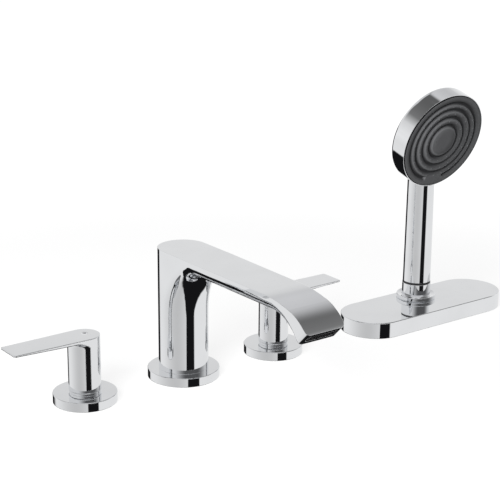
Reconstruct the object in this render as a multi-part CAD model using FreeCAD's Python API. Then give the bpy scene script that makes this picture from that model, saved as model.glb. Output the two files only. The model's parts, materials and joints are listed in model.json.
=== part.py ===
import FreeCAD, Part
import math
import os

from FreeCAD import Matrix, Placement, Vector

# Deck-mounted bath mixer: two side valves, a spout between them and a hand shower in its holder.
# Millimetres, +Z up, spout towards -Y. The origin is the spout's axis on the top face of the deck.

# Places on the deck
DECK_THICKNESS = 20.0
VALVE_SPACING = 110.0
PLATE_X = 310.0
PLATE_Y = -8.0
HOLDER_X = 312.5
HOLDER_Y = 4.5

# Clearances
SEAT = 0.1
RUNNING = 0.08
FACE_RUNNING = 0.05
TURN_GAP = 0.3
FOOT_GAP = 0.3

# Escutcheons and their foot seals
VALVE_ESCUTCHEON_D = 60.0
SPOUT_ESCUTCHEON_D = 70.0
ESCUTCHEON_H = 9.2
ESCUTCHEON_WALL = 3.0
ESCUTCHEON_CROWN = 2.6
EDGE_ROUND = 0.6
SEAL_WIDTH = 1.2
SEAL_HEIGHT = 1.8

# Fixings through the deck, one size for all four stations
SHANK_D = 32.0
GASKET_THICKNESS = 1.5
GASKET_D = 50.0
WASHER_D = 52.0
WASHER_THICKNESS = 2.0
NUT_FLATS = 41.0
NUT_HEIGHT = 8.0
TOP_NUT_D = 48.0
TOP_NUT_HEIGHT = 4.0
NOTCH_WIDTH = 5.0
NOTCH_DEPTH = 4.0
SHANK_END_Z = -60.0

# Pipe ends, G1/2
PIPE_D = 20.9
PIPE_BORE_D = 13.0
PIPE_LENGTH = 20.0
PIPE_CHAMFER = 1.2
BRANCH_ROOT = 3.0

# Handles
HANDLE_D = 30.4
HANDLE_TOP_Z = 65.0
HANDLE_CROWN = 11.0
LEVER_REACH = 77.0
LEVER_TIP_WIDTH = 27.6
LEVER_ROOT_THICKNESS = 2.8
LEVER_TIP_THICKNESS = 1.4
LEVER_ROOT_RADIUS = 6.0
LEVER_CORNER = 2.2
BASE_RING_H = 2.4
BASE_RING_RECESS = 0.7
INSERT_FOOT_Z = 30.0
MARKER_D = 5.0
MARKER_DEPTH = 1.2
MARKER_ASIDE = 2.4
MARKER_BACK = 2.5

# Neck bush that carries the handle
NECK_D = 18.0
NECK_TOP_Z = 26.0
NECK_FLANGE_D = 26.0
SLEEVE_TOP_Z = 6.0
SLEEVE_BORE_D = 24.4
NECK_THREAD_LENGTH = 14.0
GLIDE_WALL = 1.5
GLIDE_HEIGHT = 12.0

# Spindle and ceramic valve
SPINDLE_D = 10.0
SPLINE_D = 8.0
SPLINE_LENGTH = 20.0
SPLINE_TEETH = 8
TOOTH_DEPTH = 0.8
HEADWORK_TOP_Z = -34.0
COLLAR_FOOT_Z = -46.0
SEAT_Z = -66.0
CARTRIDGE_D = 22.0
CARTRIDGE_WALL = 1.4
DISC_THICKNESS = 3.0
DISC_SEAL_HEIGHT = 2.0
DISC_SEAL_WALL = 1.5
CARRIER_THICKNESS = 2.5
CARRIER_WIDTH = 9.0
STEM_D = 8.4
THRUST_D = 16.0
THRUST_THICKNESS = 4.0
TONGUE_WIDTH = 3.0
TONGUE_LENGTH = 12.0
TONGUE_HEIGHT = 1.2
PORT_INNER_R = 3.5
PORT_OUTER_R = 7.6
PORT_ANGLE = 76.0
WINDOW_WIDTH = 10.0
WINDOW_HEIGHT = 8.0
STEM_RING_SECTION = 1.25
STEM_RING_PITCH = 4.0

# Valve body under the deck
CHAMBER_D = 40.0
CHAMBER_BORE_D = 31.0
CHAMBER_FLOOR = 8.0
CHAMBER_SHOULDER = 4.0
INLET_FLATS = 30.0
INLET_HEX_HEIGHT = 6.0
INLET_BORE_D = 14.0
OUTLET_Z = -56.0

# Grub screws
HANDLE_SCREW_D = 5.0
HANDLE_SCREW_Z = 38.0
SPOUT_SCREW_D = 6.0
SPOUT_SCREW_Z = 21.0
SOCKET_FLATS = 2.5
SOCKET_DEPTH = 2.5
SCREW_SINK = 1.2
SCREW_POINT = 0.8

# Spout body
SPOUT_D = 48.4
SPOUT_TOP_Z = 130.0
SPOUT_THICKNESS = 17.4
SPOUT_BELLY = 13.7
SPOUT_TIP_BELLY = 0.6
SPOUT_ROOT_HEIGHT = 45.0
SPOUT_ROOT_REACH = 24.0
SPOUT_ROOT_FLATNESS = 8
SPOUT_TIP_WIDTH = 42.4
SPOUT_REACH = 213.6
SPOUT_NOSE = 61.6
SPOUT_BEND_Y = SPOUT_NOSE - SPOUT_REACH
SPOUT_BEND_RADIUS = 140.0
SPOUT_BEND_ANGLE = 15.5
SPOUT_NOSE_RADIUS = 46.0
SPOUT_NOSE_ANGLE = 37.0
BELLY_NOSE = 53.6
BELLY_BEND_Y = BELLY_NOSE - SPOUT_REACH
BELLY_BEND_RADIUS = 68.0
BELLY_BEND_ANGLE = 39.0
SPOUT_CORNER = 4.5
BELLY_FADE = 1.7
CORNER_RELIEF_ANGLE = 8.0
COLUMN_FLAT = 0.4
ELBOW_STEP = 10
TIP_STEPS = 5

# Waterway and outlet of the spout
POST_D = 39.8
POST_TOP_Z = 46.0
POST_FLANGE_D = 54.0
POST_FLANGE_THICKNESS = 5.0
POST_ROOM = 1.0
WATERWAY_D = 18.0
CHANNEL_WIDTH = 28.0
CHANNEL_HEIGHT = 8.0
CHANNEL_CROWN = 4.0
CHANNEL_LEAD = 6.0
OUTLET_WIDTH = 34.0
OUTLET_HEIGHT = 7.4
OUTLET_DEPTH = 7.0
OUTLET_SLOTS = 8
OUTLET_FIN = 0.9
OUTLET_RIM = 1.2
POST_RING_SECTION = 2.4
POST_RING_Z = (34.0, 40.0)
SCREW_GROOVE_DEPTH = 2.2
SCREW_GROOVE_SEAT = 1.0
SCREW_GROOVE_MOUTH = 4.5

# Mixing tee under the spout
TEE_D = 41.0
TEE_TOP_Z = -50.0
TEE_FOOT_Z = -92.0
TEE_INLET_Z = -74.0
TEE_FLOOR = 7.0

# Deck plate and its frame
PLATE_LENGTH = 211.5
PLATE_WIDTH = 71.0
PLATE_HEIGHT = 17.4
PLATE_WALL = 2.5
PLATE_CROWN = 2.5
PLATE_EDGE_ROUND = 0.8
FRAME_THICKNESS = 3.0
FRAME_RIM = 2.0
FRAME_RIM_HEIGHT = 8.0
FRAME_BOSS_WALL = 3.0
FRAME_SCREW_X = 78.0
FRAME_SCREW_D = 4.0
FRAME_SCREW_HEAD_D = 8.0
FRAME_SCREW_HEAD_H = 2.4
FRAME_SCREW_LENGTH = 22.0

# Hand shower holder
SOCKET_D = 31.2
SOCKET_TOP_Z = 35.3
COLLAR_D = 42.6
COLLAR_HEIGHT = 4.7
COLLAR_DISH = 1.0
COLLAR_LIP = 0.8
SPIGOT_D = 28.0
SPIGOT_LENGTH = 10.0
SPIGOT_BORE_D = 24.0
HOLDER_SHANK_BORE_D = 26.0
LINER_D = 26.4
LINER_FOOT_Z = 19.0
LINER_FLANGE_D = 30.4
LINER_FLANGE_H = 1.9
LINER_TOP_BORE_D = 23.4
LINER_FOOT_BORE_D = 21.2

# Hand shower
STICK_FOOT_D = 30.4
STICK_TOP_D = 29.0
STICK_BORE_D = 22.0
STICK_WAIST_Z = 150.0
STICK_INTO_HEAD = 16.1
NIPPLE_D = 20.9
NIPPLE_LENGTH = 14.0
NIPPLE_BORE_D = 12.0
NIPPLE_SHOULDER = 12.0
HEAD_D = 107.6
HEAD_THICKNESS = 23.0
HEAD_BACK_ROUND = 6.5
HEAD_WALL = 3.0
HEAD_TILT = 17.6
HEAD_FACE_Y = -26.0
HEAD_FACE_Z = 198.4
FACE_MARGIN = 0.8
FACE_D = HEAD_D - 2 * FACE_MARGIN
FACE_THICKNESS = 3.5
FACE_PROUD = 0.8
FACE_EDGE_ROUND = 0.75
GROOVE_RADII = (18.8, 27.9, 36.8, 44.4)
GROOVE_WIDTH = 1.8
GROOVE_DEPTH = 0.8
GROOVE_BREAK_ANGLE = 34.0
NOZZLE_D = 2.0
NOZZLE_PROUD = 0.7
NOZZLE_RADII = (23.3, 32.3, 40.6)
NOZZLE_COUNTS = (12, 18, 24)
MAT_THICKNESS = 1.5
CHAMBER_PLATE_THICKNESS = 2.5
CHAMBER_GAP = 3.0
INNER_PIPE_D = 13.0
INNER_PIPE_BORE_D = 9.0

# Values worked out from the ones above
NUT_TOP_Z = -DECK_THICKNESS - WASHER_THICKNESS
HANDLE_FOOT_Z = ESCUTCHEON_H + BASE_RING_H + TURN_GAP
GLIDE_D = NECK_D + 2 * SEAT + 2 * GLIDE_WALL
HANDLE_BORE_D = GLIDE_D + 2 * RUNNING
HANDLE_BORE_TOP_Z = HANDLE_TOP_Z - HANDLE_CROWN
STICK_FOOT_Z = SOCKET_TOP_Z + SEAT + LINER_FLANGE_H + TURN_GAP


def rod(diameter, foot_z, top_z):
    return Part.makeCylinder(diameter / 2, top_z - foot_z, Vector(0, 0, foot_z))


def ring(outer_d, bore_d, foot_z, top_z):
    return rod(outer_d, foot_z, top_z).cut(rod(bore_d, foot_z, top_z))


def hexagon(flats, foot_z, top_z):
    corner = flats / math.sqrt(3)
    points = [
        Vector(corner * math.cos(k * math.pi / 3), corner * math.sin(k * math.pi / 3), foot_z)
        for k in range(7)
    ]
    return Part.Face(Part.makePolygon(points)).extrude(Vector(0, 0, top_z - foot_z))


def revolved(outline, angle=360.0):
    points = [Vector(r, 0, z) for r, z in outline]
    points.append(points[0])
    return Part.Face(Part.makePolygon(points)).revolve(Vector(0, 0, 0), Vector(0, 0, 1), angle)


def round_seal(middle_d, section, z):
    """A ring seal; its section has six sides, which keeps a small inner piece light."""
    outline = [
        (middle_d / 2 + section / 2 * math.cos(angle), z + section / 2 * math.sin(angle))
        for angle in (k * math.pi / 3 for k in range(6))
    ]
    return revolved(outline)


def box(x_size, y_size, foot_z, top_z, x=0.0, y=0.0):
    corner = Vector(x - x_size / 2, y - y_size / 2, foot_z)
    return Part.makeBox(x_size, y_size, top_z - foot_z, corner)


def stadium(length, width, foot_z, top_z):
    middle = box(length - width, width, foot_z, top_z)
    ends = [rod(width, foot_z, top_z) for _ in range(2)]
    ends[0].translate(Vector(-(length - width) / 2, 0, 0))
    ends[1].translate(Vector((length - width) / 2, 0, 0))
    return middle.fuse(ends).removeSplitter()


def moved(shape, x=0.0, y=0.0, z=0.0):
    copy = shape.copy()
    copy.translate(Vector(x, y, z))
    return copy


def turned(shape, angle, axis=Vector(0, 0, 1), centre=Vector(0, 0, 0)):
    copy = shape.copy()
    copy.rotate(centre, axis, angle)
    return copy


def along_x(shape):
    return turned(shape, 90, Vector(0, 1, 0))


def yz(y, z):
    return Vector(0, y, z)


def top_edges(shape, z, diameter):
    radius = diameter / 2
    return [
        edge
        for edge in shape.Edges
        if isinstance(edge.Curve, Part.Circle)
        and abs(edge.Curve.Radius - radius) < 1e-6
        and abs(edge.Curve.Center.z - z) < 1e-6
    ]


def half_ellipse_section(bottom, lift, half_width, belly, reach):
    """A section across the arm: a half ellipse for its belly, with straight sides up to reach."""
    depth = min(belly, half_width)
    ellipse = Part.Ellipse(Vector(0, depth, 0), half_width, depth)
    left = Vector(-half_width, depth, 0)
    right = Vector(half_width, depth, 0)
    far_left = Vector(-half_width, reach, 0)
    far_right = Vector(half_width, reach, 0)
    wire = Part.Wire(
        [
            Part.ArcOfEllipse(ellipse, math.pi, 2 * math.pi).toShape(),
            Part.makeLine(right, far_right),
            Part.makeLine(far_right, far_left),
            Part.makeLine(far_left, left),
        ]
    )
    across = Vector(1, 0, 0)
    facing = across.cross(lift)
    wire.Placement = Placement(
        Matrix(
            across.x, lift.x, facing.x, bottom.x,
            across.y, lift.y, facing.y, bottom.y,
            across.z, lift.z, facing.z, bottom.z,
            0, 0, 0, 1,
        )
    )
    return wire


# Pieces of a valve, with their axis at X = 0


def escutcheon(outer_d, bore_d):
    """Deep-drawn cover with a groove in its foot for the seal."""
    cover = rod(outer_d, FOOT_GAP, ESCUTCHEON_H)
    cover = cover.makeFillet(EDGE_ROUND, top_edges(cover, ESCUTCHEON_H, outer_d))
    cover = cover.cut(rod(outer_d - 2 * ESCUTCHEON_WALL, FOOT_GAP, ESCUTCHEON_H - ESCUTCHEON_CROWN))
    cover = cover.cut(rod(bore_d, FOOT_GAP, ESCUTCHEON_H))
    middle_d = outer_d - ESCUTCHEON_WALL
    return cover.cut(
        ring(middle_d + SEAL_WIDTH + SEAT, middle_d - SEAL_WIDTH - SEAT, FOOT_GAP, SEAL_HEIGHT)
    )


def foot_seal(outer_d):
    middle_d = outer_d - ESCUTCHEON_WALL
    return ring(middle_d + SEAL_WIDTH, middle_d - SEAL_WIDTH, 0, SEAL_HEIGHT)


def clamp_washer():
    return ring(WASHER_D, SHANK_D + 2 * SEAT, NUT_TOP_Z, -DECK_THICKNESS)


def shank_nut():
    nut = hexagon(NUT_FLATS, NUT_TOP_Z - NUT_HEIGHT, NUT_TOP_Z)
    return nut.cut(rod(SHANK_D + 2 * SEAT, NUT_TOP_Z - NUT_HEIGHT, NUT_TOP_Z))


def deck_gasket():
    return ring(GASKET_D, SHANK_D + 4 * SEAT, 0, GASKET_THICKNESS)


def top_nut():
    """Round nut with four spanner notches, above the deck inside the escutcheon."""
    top_z = GASKET_THICKNESS + TOP_NUT_HEIGHT
    nut = ring(TOP_NUT_D, SHANK_D + 2 * SEAT, GASKET_THICKNESS, top_z)
    for quarter in range(4):
        notch = box(NOTCH_DEPTH, NOTCH_WIDTH, GASKET_THICKNESS, top_z, (TOP_NUT_D - NOTCH_DEPTH) / 2)
        nut = nut.cut(turned(notch, 90 * quarter + 45))
    return nut


def base_ring():
    """Ring in the shadow gap between the handle and its escutcheon."""
    outer_d = HANDLE_D - 2 * BASE_RING_RECESS
    return ring(outer_d, NECK_D + 2 * SEAT, ESCUTCHEON_H, ESCUTCHEON_H + BASE_RING_H)


def neck_bush():
    """Screwed into the valve's sleeve; its neck carries the handle and guides the spindle."""
    thread_d = SLEEVE_BORE_D - 2 * SEAT
    bush = rod(thread_d, SLEEVE_TOP_Z - NECK_THREAD_LENGTH, SLEEVE_TOP_Z)
    bush = bush.fuse(
        [rod(NECK_FLANGE_D, SLEEVE_TOP_Z, ESCUTCHEON_H), rod(NECK_D, ESCUTCHEON_H, NECK_TOP_Z)]
    )
    bore = rod(SPINDLE_D + 2 * RUNNING, SLEEVE_TOP_Z - NECK_THREAD_LENGTH, NECK_TOP_Z)
    return bush.removeSplitter().cut(bore)


def glide_bush():
    foot_z = ESCUTCHEON_H + BASE_RING_H
    return ring(GLIDE_D, NECK_D + 2 * SEAT, foot_z, foot_z + GLIDE_HEIGHT)


def port_sectors(foot_z, top_z, first_angle):
    """The two water ports of a ceramic disc, opposite each other."""
    sectors = []
    for side in (0, 180):
        outline = [
            (PORT_INNER_R, foot_z),
            (PORT_OUTER_R, foot_z),
            (PORT_OUTER_R, top_z),
            (PORT_INNER_R, top_z),
        ]
        sectors.append(turned(revolved(outline, PORT_ANGLE), first_angle - PORT_ANGLE / 2 + side))
    return sectors


DISC_D = CARTRIDGE_D - 2 * CARTRIDGE_WALL - 2 * SEAT
FIXED_DISC_Z = SEAT_Z + DISC_SEAL_HEIGHT
TURNING_DISC_Z = FIXED_DISC_Z + DISC_THICKNESS + FACE_RUNNING
CARRIER_Z = TURNING_DISC_Z + DISC_THICKNESS
THRUST_TOP_Z = COLLAR_FOOT_Z - RUNNING


def fixed_disc():
    disc = rod(DISC_D, FIXED_DISC_Z, FIXED_DISC_Z + DISC_THICKNESS)
    return disc.cut(port_sectors(FIXED_DISC_Z, FIXED_DISC_Z + DISC_THICKNESS, 90))


def turning_disc():
    disc = rod(DISC_D, TURNING_DISC_Z, CARRIER_Z)
    disc = disc.cut(port_sectors(TURNING_DISC_Z, CARRIER_Z, 0))
    width = TONGUE_WIDTH + 2 * SEAT
    length = TONGUE_LENGTH + 2 * SEAT
    return disc.cut(box(width, length, CARRIER_Z - TONGUE_HEIGHT - SEAT, CARRIER_Z))


def disc_seal():
    return ring(DISC_D, DISC_D - 2 * DISC_SEAL_WALL, SEAT_Z, FIXED_DISC_Z)


def stem_ring_places():
    middle = (COLLAR_FOOT_Z + HEADWORK_TOP_Z) / 2
    return (middle - STEM_RING_PITCH / 2, middle + STEM_RING_PITCH / 2)


def ring_groove(shaft_d, section, z):
    floor_d = shaft_d - 2 * section
    return ring(shaft_d + section, floor_d, z - section / 2 - SEAT, z + section / 2 + SEAT)


def spline(outer_d, foot_z, top_z):
    """Toothed drive, one tooth per step around the axis."""
    core = rod(outer_d - 2 * TOOTH_DEPTH, foot_z, top_z)
    width = math.pi * outer_d / SPLINE_TEETH / 2
    teeth = [
        turned(box(outer_d, width, foot_z, top_z), 360 / SPLINE_TEETH * k)
        for k in range(SPLINE_TEETH // 2)
    ]
    return core.fuse(teeth).common(rod(outer_d, foot_z, top_z)).removeSplitter()


def spindle():
    """Turns the upper ceramic disc: tongue, carrier, thrust collar, stem and splined end."""
    tongue = box(TONGUE_WIDTH, TONGUE_LENGTH, CARRIER_Z - TONGUE_HEIGHT, CARRIER_Z)
    carrier = rod(DISC_D, CARRIER_Z, CARRIER_Z + CARRIER_THICKNESS)
    carrier = carrier.common(box(CARRIER_WIDTH, DISC_D, CARRIER_Z, CARRIER_Z + CARRIER_THICKNESS))
    thrust_foot_z = THRUST_TOP_Z - THRUST_THICKNESS
    shaft = tongue.fuse(
        [
            carrier,
            rod(STEM_D, CARRIER_Z, thrust_foot_z),
            rod(THRUST_D, thrust_foot_z, THRUST_TOP_Z),
            rod(SPINDLE_D, THRUST_TOP_Z, INSERT_FOOT_Z),
            spline(SPLINE_D, INSERT_FOOT_Z, INSERT_FOOT_Z + SPLINE_LENGTH),
        ]
    ).removeSplitter()
    for z in stem_ring_places():
        shaft = shaft.cut(ring_groove(SPINDLE_D, STEM_RING_SECTION, z))
    return shaft


def spindle_o_rings():
    middle_d = SPINDLE_D - STEM_RING_SECTION
    return Part.makeCompound(
        [round_seal(middle_d, STEM_RING_SECTION - SEAT, z) for z in stem_ring_places()]
    )


def headwork_body():
    """Brass shell of the ceramic valve: thread collar above, cartridge tube with windows below."""
    collar = rod(SLEEVE_BORE_D - 2 * SEAT, COLLAR_FOOT_Z, HEADWORK_TOP_Z)
    collar = collar.cut(rod(SPINDLE_D + 2 * RUNNING, COLLAR_FOOT_Z, HEADWORK_TOP_Z))
    tube = ring(CARTRIDGE_D, CARTRIDGE_D - 2 * CARTRIDGE_WALL, SEAT_Z, COLLAR_FOOT_Z)
    window_z = CARRIER_Z + CARRIER_THICKNESS / 2
    window = box(WINDOW_WIDTH, CARTRIDGE_D + 2, window_z, window_z + WINDOW_HEIGHT)
    return collar.fuse(tube).removeSplitter().cut(window)


def pipe_end(length, bore_d=PIPE_BORE_D):
    """Male pipe end that points up from z = 0, with a chamfered mouth."""
    chamfer = PIPE_CHAMFER
    return revolved(
        [
            (bore_d / 2, 0),
            (PIPE_D / 2, 0),
            (PIPE_D / 2, length - chamfer),
            (PIPE_D / 2 - chamfer, length),
            (bore_d / 2, length),
        ]
    )


def side_branch(body_d, bore_d, z, side):
    """A pipe end and its bore, sideways out of a round body."""
    root = body_d / 2 - BRANCH_ROOT
    stub = along_x(moved(pipe_end(PIPE_LENGTH + BRANCH_ROOT), z=root))
    bore = along_x(rod(PIPE_BORE_D, bore_d / 2 - BRANCH_ROOT, body_d / 2))
    if side < 0:
        stub = turned(stub, 180)
        bore = turned(bore, 180)
    return moved(stub, z=z), moved(bore, z=z)


def valve_body(side):
    """Sleeve through the deck, water chamber below it, inlet down and outlet towards the spout."""
    sleeve = rod(SHANK_D, COLLAR_FOOT_Z, SLEEVE_TOP_Z)
    shoulder_z = COLLAR_FOOT_Z + CHAMBER_SHOULDER
    foot_z = SEAT_Z - CHAMBER_FLOOR
    chamber = revolved(
        [
            (0, foot_z),
            (CHAMBER_D / 2, foot_z),
            (CHAMBER_D / 2, COLLAR_FOOT_Z),
            (SHANK_D / 2, shoulder_z),
            (0, shoulder_z),
        ]
    )
    hex_foot_z = foot_z - INLET_HEX_HEIGHT
    inlet = turned(pipe_end(PIPE_LENGTH, INLET_BORE_D), 180, Vector(1, 0, 0))
    inlet.translate(Vector(0, 0, hex_foot_z))
    branch, branch_bore = side_branch(CHAMBER_D, CHAMBER_BORE_D, OUTLET_Z, -side)
    body = sleeve.fuse([chamber, hexagon(INLET_FLATS, hex_foot_z, foot_z), inlet, branch])
    body = body.removeSplitter()
    body = body.cut(rod(SLEEVE_BORE_D, COLLAR_FOOT_Z, SLEEVE_TOP_Z))
    body = body.cut(rod(CHAMBER_BORE_D, SEAT_Z, COLLAR_FOOT_Z))
    body = body.cut(rod(INLET_BORE_D, hex_foot_z, SEAT_Z))
    return body.cut(branch_bore)


def handle_screw_bore(side, diameter):
    """Axis of the handle's grub screw, which lies towards the back of the deck."""
    reach = HANDLE_D / 2
    bore = along_x(rod(diameter, 0, reach))
    if side < 0:
        bore = turned(bore, 180)
    return moved(bore, z=HANDLE_SCREW_Z)


def lever_plan(radius, foot_z, top_z):
    """Upright block of the lever's outline: round back, tapering sides, rounded tip corners."""
    tip_half = LEVER_TIP_WIDTH / 2
    to_corner = math.atan2(-LEVER_REACH, tip_half)
    touch_angle = to_corner + math.acos(radius / math.hypot(LEVER_REACH, tip_half))
    touch = Vector(radius * math.cos(touch_angle), radius * math.sin(touch_angle), foot_z)
    corner = Vector(tip_half, -LEVER_REACH, foot_z)
    left_touch = Vector(-touch.x, touch.y, foot_z)
    left_corner = Vector(-corner.x, corner.y, foot_z)
    outline = Part.Wire(
        [
            Part.Arc(touch, Vector(0, radius, foot_z), left_touch).toShape(),
            Part.makeLine(left_touch, left_corner),
            Part.makeLine(left_corner, corner),
            Part.makeLine(corner, touch),
        ]
    )
    block = Part.Face(outline).extrude(Vector(0, 0, top_z - foot_z))
    corners = [
        edge
        for edge in block.Edges
        if edge.BoundBox.YMax < 1 - LEVER_REACH and edge.BoundBox.XLength < 1
    ]
    return block.makeFillet(LEVER_CORNER, corners)


def root_flare(radius, flare, root_z):
    """Round fillet between the column and the lever's underside, all the way round."""
    foot_z = root_z - flare
    middle = Vector(
        radius + flare * (1 - math.cos(math.pi / 4)), 0, foot_z + flare * math.sin(math.pi / 4)
    )
    start = Vector(radius, 0, foot_z)
    end = Vector(radius + flare, 0, root_z)
    rest = Part.makePolygon([end, Vector(0, 0, root_z), Vector(0, 0, foot_z), start])
    outline = Part.Wire([Part.Arc(start, middle, end).toShape()] + rest.Edges)
    return Part.Face(outline).revolve(Vector(0, 0, 0), Vector(0, 0, 1), 360)


def lever_blade(radius, flare, root_z):
    """Wedge between the flat top face and the underside that rises towards the tip."""
    tip_z = HANDLE_TOP_Z - LEVER_TIP_THICKNESS
    points = [
        yz(radius, root_z),
        yz(-radius - flare, root_z),
        yz(-LEVER_REACH, tip_z),
        yz(-LEVER_REACH, HANDLE_TOP_Z),
        yz(radius, HANDLE_TOP_Z),
        yz(radius, root_z),
    ]
    slab = Part.Face(Part.makePolygon(points)).extrude(Vector(4 * radius, 0, 0))
    return moved(slab, -2 * radius)


def handle(side):
    """Column and lever in one casting, modelled with the lever towards -Y."""
    radius = HANDLE_D / 2
    root_z = HANDLE_TOP_Z - LEVER_ROOT_THICKNESS
    flare_foot_z = root_z - LEVER_ROOT_RADIUS
    plan = lever_plan(radius, flare_foot_z, HANDLE_TOP_Z)
    blade = lever_blade(radius, LEVER_ROOT_RADIUS, root_z).common(plan)
    flare = root_flare(radius, LEVER_ROOT_RADIUS, root_z).common(plan)
    shape = rod(HANDLE_D, HANDLE_FOOT_Z, flare_foot_z).fuse([flare, blade]).removeSplitter()
    shape = shape.cut(rod(HANDLE_BORE_D, HANDLE_FOOT_Z, HANDLE_BORE_TOP_Z))
    shape = shape.cut(handle_screw_bore(side, HANDLE_SCREW_D + 2 * SEAT))
    pocket = rod(MARKER_D + 2 * SEAT, HANDLE_TOP_Z - MARKER_DEPTH, HANDLE_TOP_Z)
    return shape.cut(moved(pocket, side * MARKER_ASIDE, MARKER_BACK))


def handle_insert(side):
    """Splined bush inside the handle that sits on the spindle's shoulder."""
    insert = rod(HANDLE_BORE_D - 2 * SEAT, INSERT_FOOT_Z, HANDLE_BORE_TOP_Z)
    insert = insert.cut(spline(SPLINE_D + 2 * SEAT, INSERT_FOOT_Z, HANDLE_BORE_TOP_Z))
    return insert.cut(handle_screw_bore(side, HANDLE_SCREW_D + 2 * SEAT))


def grub_screw(diameter, inner, outer):
    """Headless screw along Z with a hexagon socket in its outer end."""
    point = diameter / 2 - SCREW_POINT
    screw = revolved(
        [
            (0, inner),
            (diameter / 2 - point, inner),
            (diameter / 2, inner + point),
            (diameter / 2, outer),
            (0, outer),
        ]
    )
    return screw.cut(hexagon(SOCKET_FLATS, outer - SOCKET_DEPTH, outer))


def handle_grub_screw(side):
    inner = SPLINE_D / 2 + SEAT
    screw = along_x(grub_screw(HANDLE_SCREW_D, inner, HANDLE_D / 2 - SCREW_SINK))
    if side < 0:
        screw = turned(screw, 180)
    return moved(screw, z=HANDLE_SCREW_Z)


def marker(side):
    disc = rod(MARKER_D, HANDLE_TOP_Z - MARKER_DEPTH, HANDLE_TOP_Z)
    return moved(disc, side * MARKER_ASIDE, MARKER_BACK)


# Pieces of the spout


def falling_arc(start, heading, radius, sweep):
    """An arc that bends downwards: its middle point, its end and the heading there, in degrees."""
    def at(angle):
        turn = math.radians(angle)
        return yz(centre.y - radius * math.sin(turn), centre.z + radius * math.cos(turn))

    begin = math.radians(heading)
    centre = yz(start.y + radius * math.sin(begin), start.z - radius * math.cos(begin))
    return at(heading + sweep / 2), at(heading + sweep), heading + sweep


class SpoutProfile:
    """Top line of the spout's arm: flat, a long bend, then the tighter nose."""

    def __init__(self):
        self.bend = yz(SPOUT_BEND_Y, SPOUT_TOP_Z)
        self.bend_middle, self.nose, heading = falling_arc(
            self.bend, 0, SPOUT_BEND_RADIUS, SPOUT_BEND_ANGLE
        )
        self.nose_middle, self.tip, self.heading = falling_arc(
            self.nose, heading, SPOUT_NOSE_RADIUS, SPOUT_NOSE_ANGLE
        )
        self.curve = Part.Wire(
            [
                Part.makeLine(yz(SPOUT_D, SPOUT_TOP_Z), self.bend),
                Part.Arc(self.bend, self.bend_middle, self.nose).toShape(),
                Part.Arc(self.nose, self.nose_middle, self.tip).toShape(),
            ]
        )

    def point_at(self, y):
        upright = Part.makeLine(yz(y, 0), yz(y, 2 * SPOUT_TOP_Z))
        nearest = self.curve.distToShape(upright)[1][0][0]
        return Vector(nearest)

    def roof(self, foot_z):
        """Everything below the top line and above foot_z."""
        fall = math.radians(self.heading)
        beyond = self.tip - yz(math.cos(fall), math.sin(fall)) * SPOUT_THICKNESS * 2
        under = yz(beyond.y, foot_z)
        start = yz(SPOUT_D, SPOUT_TOP_Z)
        rest = Part.makePolygon([self.tip, beyond, under, yz(SPOUT_D, foot_z), start])
        outline = Part.Wire(self.curve.Edges + rest.Edges)
        slab = Part.Face(outline).extrude(Vector(2 * SPOUT_D, 0, 0))
        return moved(slab, -SPOUT_D)


# Where the elbow's inner bend has its centre, and the arm's straight belly
BELLY_Z = SPOUT_TOP_Z - SPOUT_THICKNESS
HINGE = yz(-SPOUT_D / 2 - SPOUT_ROOT_REACH, BELLY_Z - SPOUT_ROOT_HEIGHT)
COLUMN_FRONT = SPOUT_D / 2 - COLUMN_FLAT


def elbow():
    """The bend from the column's round front to the arm's shallow belly.

    Its inner line is a quarter of a tall ellipse, and each section stands square to that line.
    """
    radius = SPOUT_D / 2
    reach = SPOUT_D + SPOUT_THICKNESS
    lead = math.sin(math.radians(ELBOW_STEP))
    sections = []
    for steps in (2, 1):
        below = yz(-radius, HINGE.z - SPOUT_ROOT_HEIGHT * lead * steps)
        sections.append(half_ellipse_section(below, yz(1, 0), radius, COLUMN_FRONT, reach))
    for angle in range(0, 91, ELBOW_STEP):
        along = math.cos(math.radians(angle))
        up = math.sin(math.radians(angle))
        bottom = HINGE + yz(SPOUT_ROOT_REACH * along, SPOUT_ROOT_HEIGHT * up)
        lift = yz(along / SPOUT_ROOT_REACH, up / SPOUT_ROOT_HEIGHT).normalize()
        depth = SPOUT_BELLY + (COLUMN_FRONT - SPOUT_BELLY) * lift.y ** SPOUT_ROOT_FLATNESS
        sections.append(half_ellipse_section(bottom, lift, radius, depth, reach))
    for steps in (1, 2):
        beyond = yz(HINGE.y - SPOUT_ROOT_REACH * lead * steps, BELLY_Z)
        sections.append(half_ellipse_section(beyond, yz(0, 1), radius, SPOUT_BELLY, reach))
    corner = Vector(-SPOUT_D, HINGE.y, HINGE.z)
    room = Part.makeBox(2 * SPOUT_D, -HINGE.y, SPOUT_TOP_Z - HINGE.z, corner)
    return Part.makeLoft(sections, True, False).common(room)


def arm_section(profile, bottom, lift, belly):
    """A section of the arm, which narrows evenly from the elbow to the tip."""
    radius = SPOUT_D / 2
    share = (bottom.y - HINGE.y) / (profile.tip.y - HINGE.y)
    half_width = radius + (SPOUT_TIP_WIDTH / 2 - radius) * share
    return half_ellipse_section(bottom, lift, half_width, belly, 2 * SPOUT_THICKNESS)


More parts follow.
